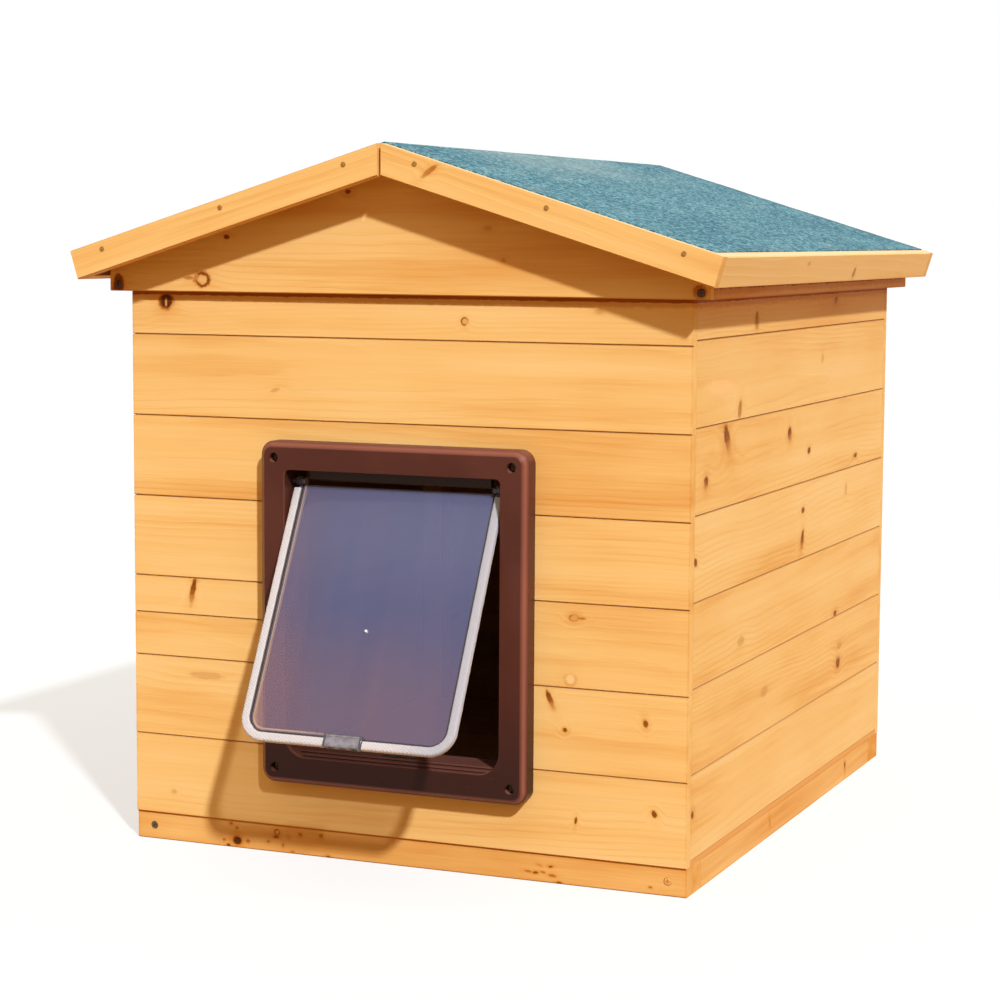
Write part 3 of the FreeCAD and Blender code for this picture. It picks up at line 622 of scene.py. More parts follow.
    def mark_masks(self, sheet: NodeSheet, lie: Lie, place: Value, spots: Sequence[Mark],
                   shift: float) -> tuple[Value, ...]:
        """Return the masks of a board's marks.

        Args:
            sheet: the finish's nodes.
            lie: how the board lies.
            place: place on the board.
            spots: the marks.
            shift: shifts the noise of their outlines.

        Returns:
            Masks of cores, rims, halos and pale middles, and the rings' bend round the marks.
        """
        along, _, across = sheet.parts(place)
        wobble = (sheet.noise(place, self.outline_waves, shift, 3.0, 0.6) - 0.5) * 0.8
        uneven = sheet.noise(place, self.patch_waves, shift + 13).rise(0.30, 0.62)
        core, rim, halo, pale, bend = (along * 0.0 for _ in range(5))
        for spot in spots:
            if abs(lie.turn[2]) > 0:
                point = Vector((lie.middle[0], spot.along * MM, spot.height * MM))
            else:
                point = Vector((spot.along * MM, lie.middle[1], spot.height * MM))
            middle = lie.local(point)
            tilt = math.radians(spot.tilt) - lie.turn[1]
            step_along = along - middle.x
            step_up = across - middle.z
            side = (step_along * math.cos(tilt) - step_up * math.sin(tilt)) / (spot.half_wide * MM)
            tall = (step_along * math.sin(tilt) + step_up * math.cos(tilt)) / (spot.half_tall * MM)
            reach = (side * side + tall * tall).root() + wobble
            tint = spot.kind.value
            body = reach.fall(0.60, 1.10)
            crack = abs(side).fall(0.05, 0.22) * abs(tall + 0.15).fall(0.35, 0.65) * tint.split
            shown = (1.0 - tall.fall(-1.0, 0.6) * tint.fade) * (1.0 - crack)
            ring = reach.rise(0.42, 0.85) * reach.fall(0.85, 1.35) * (0.35 + uneven * 0.65)
            core = core.greater(body * tint.core * shown)
            rim = rim.greater(ring * tint.rim)
            halo = halo.greater(reach.fall(0.7, 3.0) * tint.halo)
            pale = pale.greater(body * tint.pale).greater(crack)
            bend = bend + reach.fall(0.4, 4.2) * (self.ring_bend * tint.halo)
        return core, rim, halo, pale, bend


@dataclass(frozen=True)
class PlyFinish:
    """Pale plywood with a faint face grain and stained edges that show its plies."""

    face: Colour = (0.66, 0.42, 0.20)
    dark: Colour = (0.46, 0.25, 0.10)
    stain: Colour = (0.76, 0.37, 0.09)
    ply: float = 1.6 * MM
    relief: float = 0.2 * MM
    figure_waves: Waves = (3, 30, 30)
    fibre_waves: Waves = (20, 600, 600)

    def paint(self, name: str, lie: Lie, seed: int) -> bpy.types.Material:
        """Make the finish of one sheet.

        Args:
            name: name of the material.
            lie: how the sheet lies.
            seed: makes it differ from other sheets.

        Returns:
            The material.
        """
        sheet = NodeSheet.named(name)
        place = sheet.place(lie)
        _, _, up = sheet.parts(place)
        figure = sheet.noise(place, self.figure_waves, seed, 4.0, 0.6)
        fibre = sheet.noise(place, self.fibre_waves, seed + 5)
        edge = abs(sheet.facing((0, 0, 1))).fall(0.5, 0.8)
        plies = (up / self.ply).fraction().rise(0.45, 0.55) * edge
        share = (figure - 0.4) * 1.1 + (fibre - 0.5) * 0.4
        colour = sheet.mix(edge, sheet.mix(share, self.face, self.dark), self.stain)
        colour = sheet.mix(plies * 0.25, colour, self.dark)
        return sheet.finish(colour, 0.62 + (fibre - 0.5) * 0.2, fibre, self.relief, Specular_IOR_Level=0.3)


@dataclass(frozen=True)
class MouldedPlastic:
    """Brown moulded plastic: a fine grain, paler bevels that are partly wear and partly painted highlight,
    dust mixed with painted highlight where it faces up, painted shade on the lintel, and darker towards the
    bottom.
    """

    colour: Colour = (0.074, 0.021, 0.014)
    light: Colour = (0.094, 0.029, 0.020)
    dust_and_sheen: Colour = (0.210, 0.088, 0.074)
    lightened: Colour = (0.290, 0.104, 0.070)
    lintel_shade: Colour = (0.026, 0.018, 0.012)
    darker_low: Colour = (0.020, 0.005, 0.003)
    bevel: tuple[float, float, float] = (-390 * MM, -387 * MM, -384 * MM)
    darker_span: Span = (90 * MM, 230 * MM)
    lintel_front: Span = (-388 * MM, -387 * MM)
    lintel_foot: Span = (380 * MM, 382 * MM)
    lintel_head: Span = (400 * MM, 400.5 * MM)
    lintel_end: Span = (117 * MM, 118 * MM)
    roughness: float = 0.38
    relief: float = 0.06 * MM
    cloud_waves: Waves = (9, 9, 9)
    grain_waves: Waves = (1400, 1400, 1400)
    scuff_waves: Waves = (60, 60, 260)

    def paint(self, name: str) -> bpy.types.Material:
        """Make the finish.

        Args:
            name: name of the material.

        Returns:
            The material.
        """
        sheet = NodeSheet.named(name)
        place = sheet.spot()
        cloud = sheet.noise(place, self.cloud_waves, 2.0, 3.0)
        grain = sheet.noise(place, self.grain_waves, 4.0, 1.0)
        scuff = sheet.noise(place, self.scuff_waves, 8.0, 4.0, 0.7).rise(0.60, 0.74)
        across, deep, up = sheet.parts(place)
        ways = [abs(sheet.facing(way)) for way in ((1, 0, 0), (0, 1, 0), (0, 0, 1))]
        # Bevels and rounded edges are paler, partly from wear and partly as painted highlight, most of all
        # mid-bevel.
        lightened = (ways[0] + ways[1] + ways[2]).rise(1.12, 1.32) * (0.55 + cloud * 0.5)
        front, middle, back = self.bevel
        worn = deep.rise(front, middle) * deep.fall(middle, back)
        upward = sheet.facing((0, 0, 1)).rise(0.35, 1.0)
        # Painted shade on the lintel over the flap.
        inner = (deep.rise(*self.lintel_front) * up.rise(*self.lintel_foot)
                 * up.fall(*self.lintel_head) * abs(across).fall(*self.lintel_end))
        colour = sheet.mix(cloud.rise(0.35, 0.7), self.colour, self.light)
        # Darker towards the bottom.
        colour = sheet.mix(up.fall(*self.darker_span) * (0.62 + cloud * 0.3), colour, self.darker_low)
        # Dust, with painted highlight, where the plastic faces up.
        colour = sheet.mix(upward * (0.25 + cloud * 0.5) + scuff * 0.10, colour, self.dust_and_sheen)
        colour = sheet.mix(lightened * (0.22 + worn * 0.72), colour, self.lightened)
        colour = sheet.mix(inner * 0.85, colour, self.lintel_shade)
        roughness = self.roughness + (grain - 0.5) * 0.12 + scuff * 0.14 + upward * 0.12 - lightened * 0.08
        return sheet.finish(colour, roughness, grain, self.relief, Specular_IOR_Level=0.15)


@dataclass(frozen=True)
class SmokedSheet:
    """Smoked see-through sheet with faint flow streaks. Its bluish haze is partly painted sky reflection; it
    is bluer near the hinge and warmer low and to the left as painted reflection, its pale moulding mark is
    partly a painted glint, and just inside the seal it has a painted shade line and a painted glint.
    """

    haze: Colour = (0.144, 0.166, 0.380)
    # Warmer low and to the left: painted reflection.
    warm_reflection: Colour = (0.256, 0.182, 0.290)
    # Bluer near the hinge: painted sky reflection.
    bright: Colour = (0.182, 0.209, 0.430)
    # A painted shade line and a painted glint just inside the seal.
    line: Colour = (0.030, 0.028, 0.034)
    glint: Colour = (0.62, 0.46, 0.30)
    # White of the moulding mark, partly a painted glint.
    gate_glint: Colour = (0.90, 0.90, 0.92)
    veil: float = 0.38
    gate_place: Span = (-1.6 * MM, -154 * MM)
    gate_radius: float = 1.7 * MM
    foot_span: Span = (-250 * MM, -110 * MM)
    left_span: Span = (-105 * MM, -35 * MM)
    head_span: Span = (-140 * MM, -50 * MM)
    glint_span: Span = (-60 * MM, 20 * MM)
    line_rise: Span = (-1.0 * MM, 0.0)
    line_fall: Span = (0.9 * MM, 2.0 * MM)
    glint_rise: Span = (2.2 * MM, 3.2 * MM)
    glint_fall: Span = (3.6 * MM, 4.8 * MM)
    relief: float = 0.006 * MM
    flow_waves: Waves = (38, 1, 2.2)
    cloud_waves: Waves = (9, 9, 7)
    scratch_waves: Waves = (900, 900, 40)
    lit_half: float = 105.2 * MM
    lit_drop: float = 264.2 * MM
    lit_corner: float = 16.7 * MM

    def from_seal(self, across: Value, up: Value) -> Value:
        """Return the distance in from the seal's inner edge, which is round at the foot.

        Args:
            across: place across the flap.
            up: place up the flap from its hinge.

        Returns:
            The distance in metres.
        """
        side = abs(across) - (self.lit_half - self.lit_corner)
        foot = 0.0 - up - (self.lit_drop - self.lit_corner)
        out_side, out_foot = side.greater(0.0), foot.greater(0.0)
        corner = (out_side * out_side + out_foot * out_foot).root()
        return self.lit_corner - corner - side.greater(foot).lesser(0.0)

    def paint(self, name: str, lie: Lie) -> bpy.types.Material:
        """Make the finish.

        Args:
            name: name of the material.
            lie: how the flap hangs.

        Returns:
            The material.
        """
        sheet = NodeSheet.named(name)
        place = sheet.place(lie)
        across, _, up = sheet.parts(place)
        flow = sheet.noise(place, self.flow_waves, 3.0, 3.0)
        cloud = sheet.noise(place, self.cloud_waves, 6.0)
        scratch = sheet.noise(place, self.scratch_waves, 9.0, 3.0, 0.7).rise(0.63, 0.72)
        low = up.fall(*self.foot_span)
        left = across.fall(*self.left_span)
        step_across = across - self.gate_place[0]
        step_up = up - self.gate_place[1]
        off_gate = (step_across * step_across + step_up * step_up).root()
        gate_glint = off_gate.fall(0.5 * self.gate_radius, self.gate_radius)
        # Painted reflection warms the sheet low and to the left, mixed with its flow streaks.
        warmth = low * 0.75 + left * (0.35 + low * 0.3) + (flow - 0.5) * 0.5 + (cloud - 0.5) * 0.5
        colour = sheet.mix(warmth, sheet.mix(up.rise(*self.head_span), self.haze, self.bright), self.warm_reflection)
        colour = sheet.mix(gate_glint, colour, self.gate_glint)
        inset = self.from_seal(across, up)
        # Painted shade line and painted glint just inside the seal.
        line = inset.rise(*self.line_rise) * inset.fall(*self.line_fall)
        glint = inset.rise(*self.glint_rise) * inset.fall(*self.glint_fall) * across.fall(*self.glint_span)
        colour = sheet.mix(line, colour, self.line)
        colour = sheet.mix(glint * 0.8, colour, self.glint)
        alpha = self.veil + scratch * 0.02 + (flow - 0.5) * 0.10 + gate_glint + line * 0.5 + glint * 0.3
        roughness = 0.11 + scratch * 0.16 + (cloud - 0.5) * 0.06
        return sheet.finish(colour, roughness, scratch + gate_glint, self.relief, Alpha=alpha.lesser(1.0), IOR=1.49)


@dataclass(frozen=True)
class PileFinish:
    """White woven pile with slanting tufts, with painted shade on its inner side and on the right-hand strip.
    """

    light: Colour = (0.61, 0.61, 0.68)
    right_shade: Colour = (0.43, 0.46, 0.56)
    shade: Colour = (0.30, 0.29, 0.36)
    inner_shade: Colour = (0.085, 0.075, 0.072)
    tuft: float = 3.1 * MM
    tuft_stray: float = 3 * MM
    slant: Span = (0.75, 0.8)
    right_shade_span: Span = (40 * MM, 100 * MM)
    inner_span: Span = (55 * MM, 85 * MM)
    foot_span: Span = (-245 * MM, -240 * MM)
    relief: float = 0.35 * MM
    fluff_waves: Waves = (900, 900, 900)

    def paint(self, name: str, lie: Lie) -> bpy.types.Material:
        """Make the finish.

        Args:
            name: name of the material.
            lie: how the flap hangs.

        Returns:
            The material.
        """
        sheet = NodeSheet.named(name)
        place = sheet.place(lie)
        across, deep, up = sheet.parts(place)
        fluff = sheet.noise(place, self.fluff_waves, 1.0, 3.0, 0.65)
        slanting = across * self.slant[0] + deep * self.slant[1] + up + (fluff - 0.5) * self.tuft_stray
        row = (slanting / self.tuft).fraction()
        gap = abs(row - 0.5).rise(0.20, 0.5)
        # Painted shade on the right-hand strip.
        colour = sheet.mix(across.rise(*self.right_shade_span), self.light, self.right_shade)
        colour = sheet.mix(gap * 0.42 + (fluff - 0.5) * 0.8, colour, self.shade)
        # Painted shade on the pile's inner side, round the sides and along the foot.
        inward = (0.0 - sheet.facing((1, 0, 0)) * across).rise(*self.inner_span)
        upward = sheet.facing(Euler(lie.turn).to_matrix() @ Vector((0, 0, 1))).rise(0.55, 0.8)
        inner_edge = inward.greater(upward * up.fall(*self.foot_span))
        colour = sheet.mix(inner_edge, colour, self.inner_shade)
        height = fluff * 0.4 + (1.0 - gap) * 0.6
        return sheet.finish(colour, 0.7 + (fluff - 0.5) * 0.2, height, self.relief, Sheen_Weight=0.3)


@dataclass(frozen=True)
class ClearPlastic:
    """Clear moulded plastic, a little cloudy and scratched."""

    tint: Colour = (0.24, 0.25, 0.32)
    cloudy: Colour = (0.41, 0.41, 0.49)
    edge: Colour = (0.055, 0.055, 0.070)
    veil: float = 0.62
    inner_half: float = 17.4 * MM
    inner_head: float = -262.2 * MM
    rim_blur: float = 0.8 * MM
    relief: float = 0.02 * MM
    cloud_waves: Waves = (120, 120, 120)
    scratch_waves: Waves = (1500, 300, 300)

    def paint(self, name: str, lie: Lie) -> bpy.types.Material:
        """Make the finish.

        Args:
            name: name of the material.
            lie: how the flap hangs.

        Returns:
            The material.
        """
        sheet = NodeSheet.named(name)
        place = sheet.place(lie)
        across, _, up = sheet.parts(place)
        # Painted shade in a dark band round the clip's rim.
        rim = abs(across).rise(self.inner_half, self.inner_half + self.rim_blur)
        rim = rim.greater(up.rise(self.inner_head, self.inner_head + self.rim_blur))
        cloud = sheet.noise(place, self.cloud_waves, 5.0, 3.0)
        scratch = sheet.noise(place, self.scratch_waves, 2.0, 3.0, 0.7).rise(0.6, 0.7)
        colour = sheet.mix(rim * 0.8, sheet.mix(cloud.rise(0.3, 0.7), self.tint, self.cloudy), self.edge)
        alpha = self.veil + (cloud - 0.5) * 0.25 + scratch * 0.1
        return sheet.finish(colour, 0.14 + scratch * 0.2, scratch, self.relief, Alpha=alpha, IOR=1.49)


@dataclass(frozen=True)
class FeltFinish:
    """Roofing felt faced with blue-green mineral granules, scuffed here and there, paler near the ridge and
    darker towards the rear edge.
    """

    dark: Colour = (0.016, 0.090, 0.145)
    body: Colour = (0.050, 0.200, 0.285)
    light: Colour = (0.195, 0.395, 0.500)
    paler: Colour = (0.340, 0.450, 0.500)
    edge: Colour = (0.020, 0.055, 0.070)
    pale_across: Span = (26 * MM, 130 * MM)
    pale_from: Span = (-320 * MM, -100 * MM)
    pale_to: Span = (50 * MM, 300 * MM)
    rear_edge: Span = (380 * MM, 396 * MM)
    relief: float = 0.8 * MM
    granules_per_metre: float = 400
    speck_waves: Waves = (235, 95, 235)
    patch_waves: Waves = (16, 7, 16)
    scuff_waves: Waves = (26, 10, 26)

    def paint(self, name: str) -> bpy.types.Material:
        """Make the finish.

        Args:
            name: name of the material.

        Returns:
            The material.
        """
        sheet = NodeSheet.named(name)
        place = sheet.spot()
        granule = sheet.cells(place, self.granules_per_metre)
        speck = sheet.noise(place, self.speck_waves, 3.0, 3.0, 0.7)
        patch = sheet.noise(place, self.patch_waves, 5.0, 3.0)
        scuff = sheet.noise(place, self.scuff_waves, 8.0, 4.0, 0.6).rise(0.56, 0.78)
        share = 0.48 + (granule - 0.5) * 1.15 + (speck - 0.5) * 2.8 + (patch - 0.5) * 0.7
        colour = sheet.ramp(share, (0.0, self.dark), (0.5, self.body), (1.0, self.light))
        across, deep, _ = sheet.parts(place)
        # Paler near the ridge.
        lightened = (abs(across).fall(*self.pale_across) * deep.rise(*self.pale_from)
                  * deep.fall(*self.pale_to))
        colour = sheet.mix(scuff * 0.30 + lightened * (0.10 + patch * 0.45), colour, self.paler)
        colour = sheet.mix(deep.rise(*self.rear_edge) * 0.38, colour, self.edge)
        height = granule * 0.6 + speck * 0.5
        roughness = 0.86 + (granule - 0.5) * 0.16
        return sheet.finish(colour, roughness, height, self.relief, Specular_IOR_Level=0.3)


@dataclass(frozen=True)
class SteelFinish:
    """Plated steel that has dulled and browned, with filler over heads beyond a place on X."""

    bright: Colour = (0.23, 0.18, 0.10)
    stained: Colour = (0.060, 0.038, 0.016)
    stain: float = 0.4
    filler: Colour = (0.74, 0.390, 0.110)
    filled_from: float = 9.0
    filler_blur: float = 1 * MM
    relief: float = 0.05 * MM
    cloud_waves: Waves = (420, 420, 420)
    grit_waves: Waves = (2600, 2600, 2600)

    def paint(self, name: str) -> bpy.types.Material:
        """Make the finish.

        Args:
            name: name of the material.

        Returns:
            The material.
        """
        sheet = NodeSheet.named(name)
        place = sheet.spot()
        cloud = sheet.noise(place, self.cloud_waves, 3.0, 4.0, 0.6)
        grit = sheet.noise(place, self.grit_waves, 7.0)
        share = (cloud - 0.5) * 2.0 + self.stain
        filled = sheet.parts(place)[0].rise(self.filled_from, self.filled_from + self.filler_blur)
        colour = sheet.mix(filled, sheet.mix(share, self.bright, self.stained), self.filler)
        return sheet.finish(colour, 0.50 + cloud * 0.25, grit, self.relief, Metallic=0.35 * (1.0 - filled))


@dataclass(frozen=True)
class MagnetFinish:
    """Dark sintered magnet."""

    colour: Colour = (0.035, 0.034, 0.036)
    worn: Colour = (0.130, 0.125, 0.125)
    relief: float = 0.05 * MM
    grit_waves: Waves = (1800, 1800, 1800)
    worn_waves: Waves = (240, 240, 240)

    def paint(self, name: str) -> bpy.types.Material:
        """Make the finish.

        Args:
            name: name of the material.

        Returns:
            The material.
        """
        sheet = NodeSheet.named(name)
        place = sheet.spot()
        grit = sheet.noise(place, self.grit_waves, 3.0, 3.0, 0.6)
        worn = sheet.noise(place, self.worn_waves, 6.0, 3.0).rise(0.52, 0.7)
        colour = sheet.mix(worn, self.colour, self.worn)
        return sheet.finish(colour, 0.45 + grit * 0.2, grit, self.relief, Metallic=0.4)


class Pick(Enum):
    """What an edit-mode tool acts on."""

    POINTS = "VERT"
    EDGES = "EDGE"
    FACES = "FACE"


class Handwork:
    """Edit-mode work on one piece."""

    def __init__(self, name: str) -> None:
        """Take up the object that was added last.

        Args:
            name: its new name.
        """
        self.piece = bpy.context.object
        self.label(name)

    def label(self, name: str) -> None:
        """Name the piece and its mesh."""
        self.piece.name = name
        self.piece.data.name = name

    @staticmethod
    def clear() -> None:
        """Deselect every object."""
        bpy.ops.object.select_all(action="DESELECT")

    @classmethod
    def block(cls, name: str, size: Sequence[float], middle: Sequence[float]) -> "Handwork":
        """Start from a block.

        Args:
            name: name of the piece.
            size: size of the block.
            middle: where its middle is.

        Returns:
            The work on the block.
        """
        cls.clear()
        bpy.ops.mesh.primitive_cube_add(size=1, location=tuple(middle))
        work = cls(name)
        work.piece.scale = tuple(size)
        work.settle()
        return work

    @classmethod
    def rod(cls, name: str, radius: float, length: float, sides: int) -> "Handwork":
        """Start from an upright rod about the origin.

        Args:
            name: name of the piece.
            radius: radius of the rod.
            length: length of the rod.
            sides: number of its sides.

        Returns:
            The work on the rod.
        """
        cls.clear()
        bpy.ops.mesh.primitive_cylinder_add(vertices=sides, radius=radius, depth=length)
        return cls(name)

    def activate(self) -> None:
        """Select this piece alone."""
        self.clear()
        self.piece.select_set(True)
        bpy.context.view_layer.objects.active = self.piece

    def settle(self) -> None:
        """Put the piece's place, turn and size into its mesh."""
        self.activate()
        bpy.ops.object.transform_apply(location=True, rotation=True, scale=True)

    def hang(self, place: Sequence[float], turn: Sequence[float]) -> None:
        """Turn the piece, move it and put both into its mesh.

        Args:
            place: where its origin goes.
            turn: its turn about the three axes.
        """
        self.piece.rotation_euler = tuple(turn)
        self.piece.location = tuple(place)
        self.settle()

    @contextmanager
    def editing(self, pick: Pick, test: Callable[[Any], bool] | None = None) -> Iterator[None]:
        """Open the piece in edit mode with what passes a test selected.

        Args:
            pick: points, edges or faces.
            test: tells which are selected; without it all are.

        Yields:
            Nothing.
        """
        self.activate()
        bpy.ops.object.mode_set(mode="EDIT")
        bpy.ops.mesh.select_mode(type=pick.value)
        self.choose(pick, test)
        yield
        bpy.ops.object.mode_set(mode="OBJECT")

    def choose(self, pick: Pick, test: Callable[[Any], bool] | None = None) -> None:
        """Select what passes a test while the piece is in edit mode.

        Args:
            pick: points, edges or faces.
            test: tells which are selected; without it all are.
        """
        bpy.ops.mesh.select_all(action="DESELECT" if test else "SELECT")
        if test is None:
            return
        mesh = bmesh.from_edit_mesh(self.piece.data)
        items = {Pick.POINTS: mesh.verts, Pick.EDGES: mesh.edges, Pick.FACES: mesh.faces}[pick]
        for item in items:
            if test(item):
                item.select_set(True)
        mesh.select_flush_mode()
        bmesh.update_edit_mesh(self.piece.data)

    def modify(self, kind: str, **settings: Any) -> None:
        """Add a modifier and apply it.

        Args:
            kind: the modifier's type.
            settings: its settings.
        """
        self.activate()
        modifier = self.piece.modifiers.new(kind.lower(), kind)
        for name, value in settings.items():
            setattr(modifier, name, value)
        bpy.ops.object.modifier_apply(modifier=modifier.name)

    def combine(self, other: "Handwork", operation: str) -> None:
        """Unite with another piece or cut it out, and remove that piece.

        Args:
            other: the other piece.
            operation: UNION or DIFFERENCE.
        """
        self.modify("BOOLEAN", object=other.piece, operation=operation, solver="EXACT")
        bpy.data.objects.remove(other.piece)

    def roughen(self, scale: float, depth: float) -> None:
        """Push the surface in and out by soft noise.

        Args:
            scale: size of the bumps.
            depth: how far apart the highest and lowest are.
        """
        texture = bpy.data.textures.new(f"{self.piece.name}_relief", "CLOUDS")
        texture.noise_scale = scale
        self.modify("DISPLACE", texture=texture, strength=depth, mid_level=0.5, texture_coords="LOCAL")

    def tidy(self) -> None:
        """Merge doubled points and turn every face outwards."""
        with self.editing(Pick.FACES):
            bpy.ops.mesh.remove_doubles(threshold=DOUBLED)
            bpy.ops.mesh.normals_make_consistent(inside=False)

    def smooth(self, angle: float = 35.0) -> None:
        """Shade smoothly across edges flatter than an angle in degrees."""
        self.activate()
        bpy.ops.object.shade_smooth_by_angle(angle=math.radians(angle))

    def copies(self, places: Sequence[tuple[Sequence[float], Sequence[float]]]) -> None:
        """Replace the piece by joined copies.

        Args:
            places: place and turn of each copy.
        """
        made = []
        for place, turn in places:
            copy = self.piece.copy()
            copy.data = self.piece.data.copy()
            copy.location = tuple(place)
            copy.rotation_euler = tuple(turn)
            bpy.context.scene.collection.objects.link(copy)
            made.append(copy)
        name = self.piece.name
        bpy.data.objects.remove(self.piece)
        self.clear()
        for copy in made:
            copy.select_set(True)
        bpy.context.view_layer.objects.active = made[0]
        bpy.ops.object.join()
        self.piece = made[0]
        self.label(name)
        self.settle()

    def fit(self, body: Body, slot: str, material: bpy.types.Material, *nodes: str) -> None:
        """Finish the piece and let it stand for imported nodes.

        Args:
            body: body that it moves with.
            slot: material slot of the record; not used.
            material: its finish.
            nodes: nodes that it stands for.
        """
        self.piece.data.materials.clear()
        self.piece.data.materials.append(material)
        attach(self.piece, body.value)
        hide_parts(*nodes)
        LOG.info("made %s for %s", self.piece.name, ", ".join(nodes))


def dress(node: str, material: bpy.types.Material) -> None:
    """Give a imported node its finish.

    Args:
        node: name of the node.
        material: its finish.
    """
    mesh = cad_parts[node].data
    mesh.materials.clear()
    mesh.materials.append(material)
    LOG.info("dressed %s", node)


def dress_board(node: str, pine: PineFinish, grain: Grain, spots: Sequence[Mark], seed: int,
                inward: Sequence[float] = (0, 0, 0)) -> None:
    """Give a board or batten its finish.

    Args:
        node: name of the node.
        pine: the finish.
        grain: which way its fibres run.
        spots: its knots and stains, and bands of painted shade.
        seed: makes it differ from the others.
        inward: the way its unstained back faces; that face gets painted shade.
    """
    dress(node, pine.paint(node, Lie.of_node(node, grain), spots, seed, inward))


def on_node(node: str, spots: Sequence[Mark], axis: int) -> list[Mark]:
    """Return the marks that reach into a node.

    Args:
        node: name of the node.
        spots: marks of the whole face.
        axis: frame axis that the marks' along runs on.

    Returns:
        The marks on that node.
    """
    low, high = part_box(node)
    return [spot for spot in spots
            if low[axis] <= spot.along * MM <= high[axis] and low.z <= spot.height * MM <= high.z]


KNOT_KINDS = (MarkKind.DARK, MarkKind.SPIKE, MarkKind.RING, MarkKind.FAINT, MarkKind.STREAK)
KNOT_WIDE = (2.5, 6)
KNOT_TALL = (3, 9)
KNOT_TILT = (-30, 30)


def scattered(node: str, axis: int, seed: int, most: int = 3) -> list[Mark]:
    """Return a few small knots for a board that the photograph doesn't show.

    Args:
        node: name of the node.
        axis: frame axis along the board.
        seed: makes boards differ.
        most: greatest number of knots.

    Returns:
        The marks.
    """
    draw = random.Random(seed)
    low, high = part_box(node)
    return [Mark(draw.uniform(low[axis], high[axis]) / MM, draw.uniform(low.z, high.z) / MM,
                 draw.uniform(*KNOT_WIDE), draw.uniform(*KNOT_TALL), draw.uniform(*KNOT_TILT),
                 draw.choice(KNOT_KINDS))
            for _ in range(draw.randint(1, most))]


class Recess(Enum):
    """How a fastener's head is driven."""

    CROSS = "cross"
    PLAIN = "plain"


@dataclass(frozen=True)
class Fastener:
    """A screw or nail with its head at the origin, looking along +Z."""

    head_radius: float
    head_tall: float
    shank_radius: float
    shank_length: float
    recess: Recess
    sides: int = 28
    point_share: float = 0.2
    edge_share: float = 0.35
    crown_share: float = 0.35
    crown_rise: float = 0.06
    slot_long: float = 1.25
    slot_wide: float = 0.24
    slot_lift: float = 0.05

    def build(self, name: str) -> Handwork:
        """Model one fastener.

        Args:
            name: name of the piece.

        Returns:
            The modelled fastener.
        """
        work = Handwork.rod(name, self.head_radius, self.head_tall, self.sides)
        half = self.head_tall / 2
        with work.editing(Pick.FACES, lambda face: face.normal.z < -0.9):
            bpy.ops.mesh.inset(thickness=self.head_radius - self.shank_radius)
            for share in (1.0 - self.point_share, self.point_share):
                step = (0, 0, -share * self.shank_length)
                bpy.ops.mesh.extrude_region_move(TRANSFORM_OT_translate={"value": step})
            bpy.ops.mesh.merge(type="CENTER")
        with work.editing(Pick.EDGES, lambda edge: all(abs(v.co.z - half) < SAME for v in edge.verts)
                          and edge.calc_length() < self.head_radius):
            bpy.ops.mesh.bevel(offset=self.edge_share * self.head_tall, segments=3)
        with work.editing(Pick.FACES, lambda face: face.normal.z > 0.99):
            bpy.ops.mesh.inset(thickness=self.crown_share * self.head_radius)
            bpy.ops.transform.translate(value=(0, 0, self.crown_rise * self.head_tall))
        work.piece.location = (0, 0, -half)
        work.settle()
        if self.recess is Recess.CROSS:
            for turn in (0.0, math.pi / 2):
                work.combine(self.build_slot(turn), "DIFFERENCE")
        return work

    def build_slot(self, turn: float) -> Handwork:
        """Model one arm of the cross recess.

        Args:
            turn: its turn about the fastener.

        Returns:
            The block to cut out.
        """
        size = (self.slot_long * self.head_radius, self.slot_wide * self.head_radius, self.head_tall)
        slot = Handwork.block("slot", size, (0, 0, self.slot_lift * self.head_tall))
        slot.hang((0, 0, 0), (0, 0, turn))
        return slot

    def fit_set(self, name: str, places: Sequence[tuple[Sequence[float], Sequence[float]]], body: Body,
                steel: bpy.types.Material, node: str) -> None:
        """Model the fastener once, copy it to its places and let the set stand for a node.

        Args:
            name: name of the set.
            places: place and turn of each fastener.
            body: body that they move with.
            steel: their finish.
            node: node that they stand for.
        """
        work = self.build(name)
        work.copies(places)
        work.smooth()
        work.fit(body, "steel", steel, node)


FRONT_TURN = (math.pi / 2, 0.0, 0.0)
BACK_TURN = (-math.pi / 2, 0.0, 0.0)
BOTH_ENDS = ((-1, FRONT_TURN), (1, BACK_TURN))


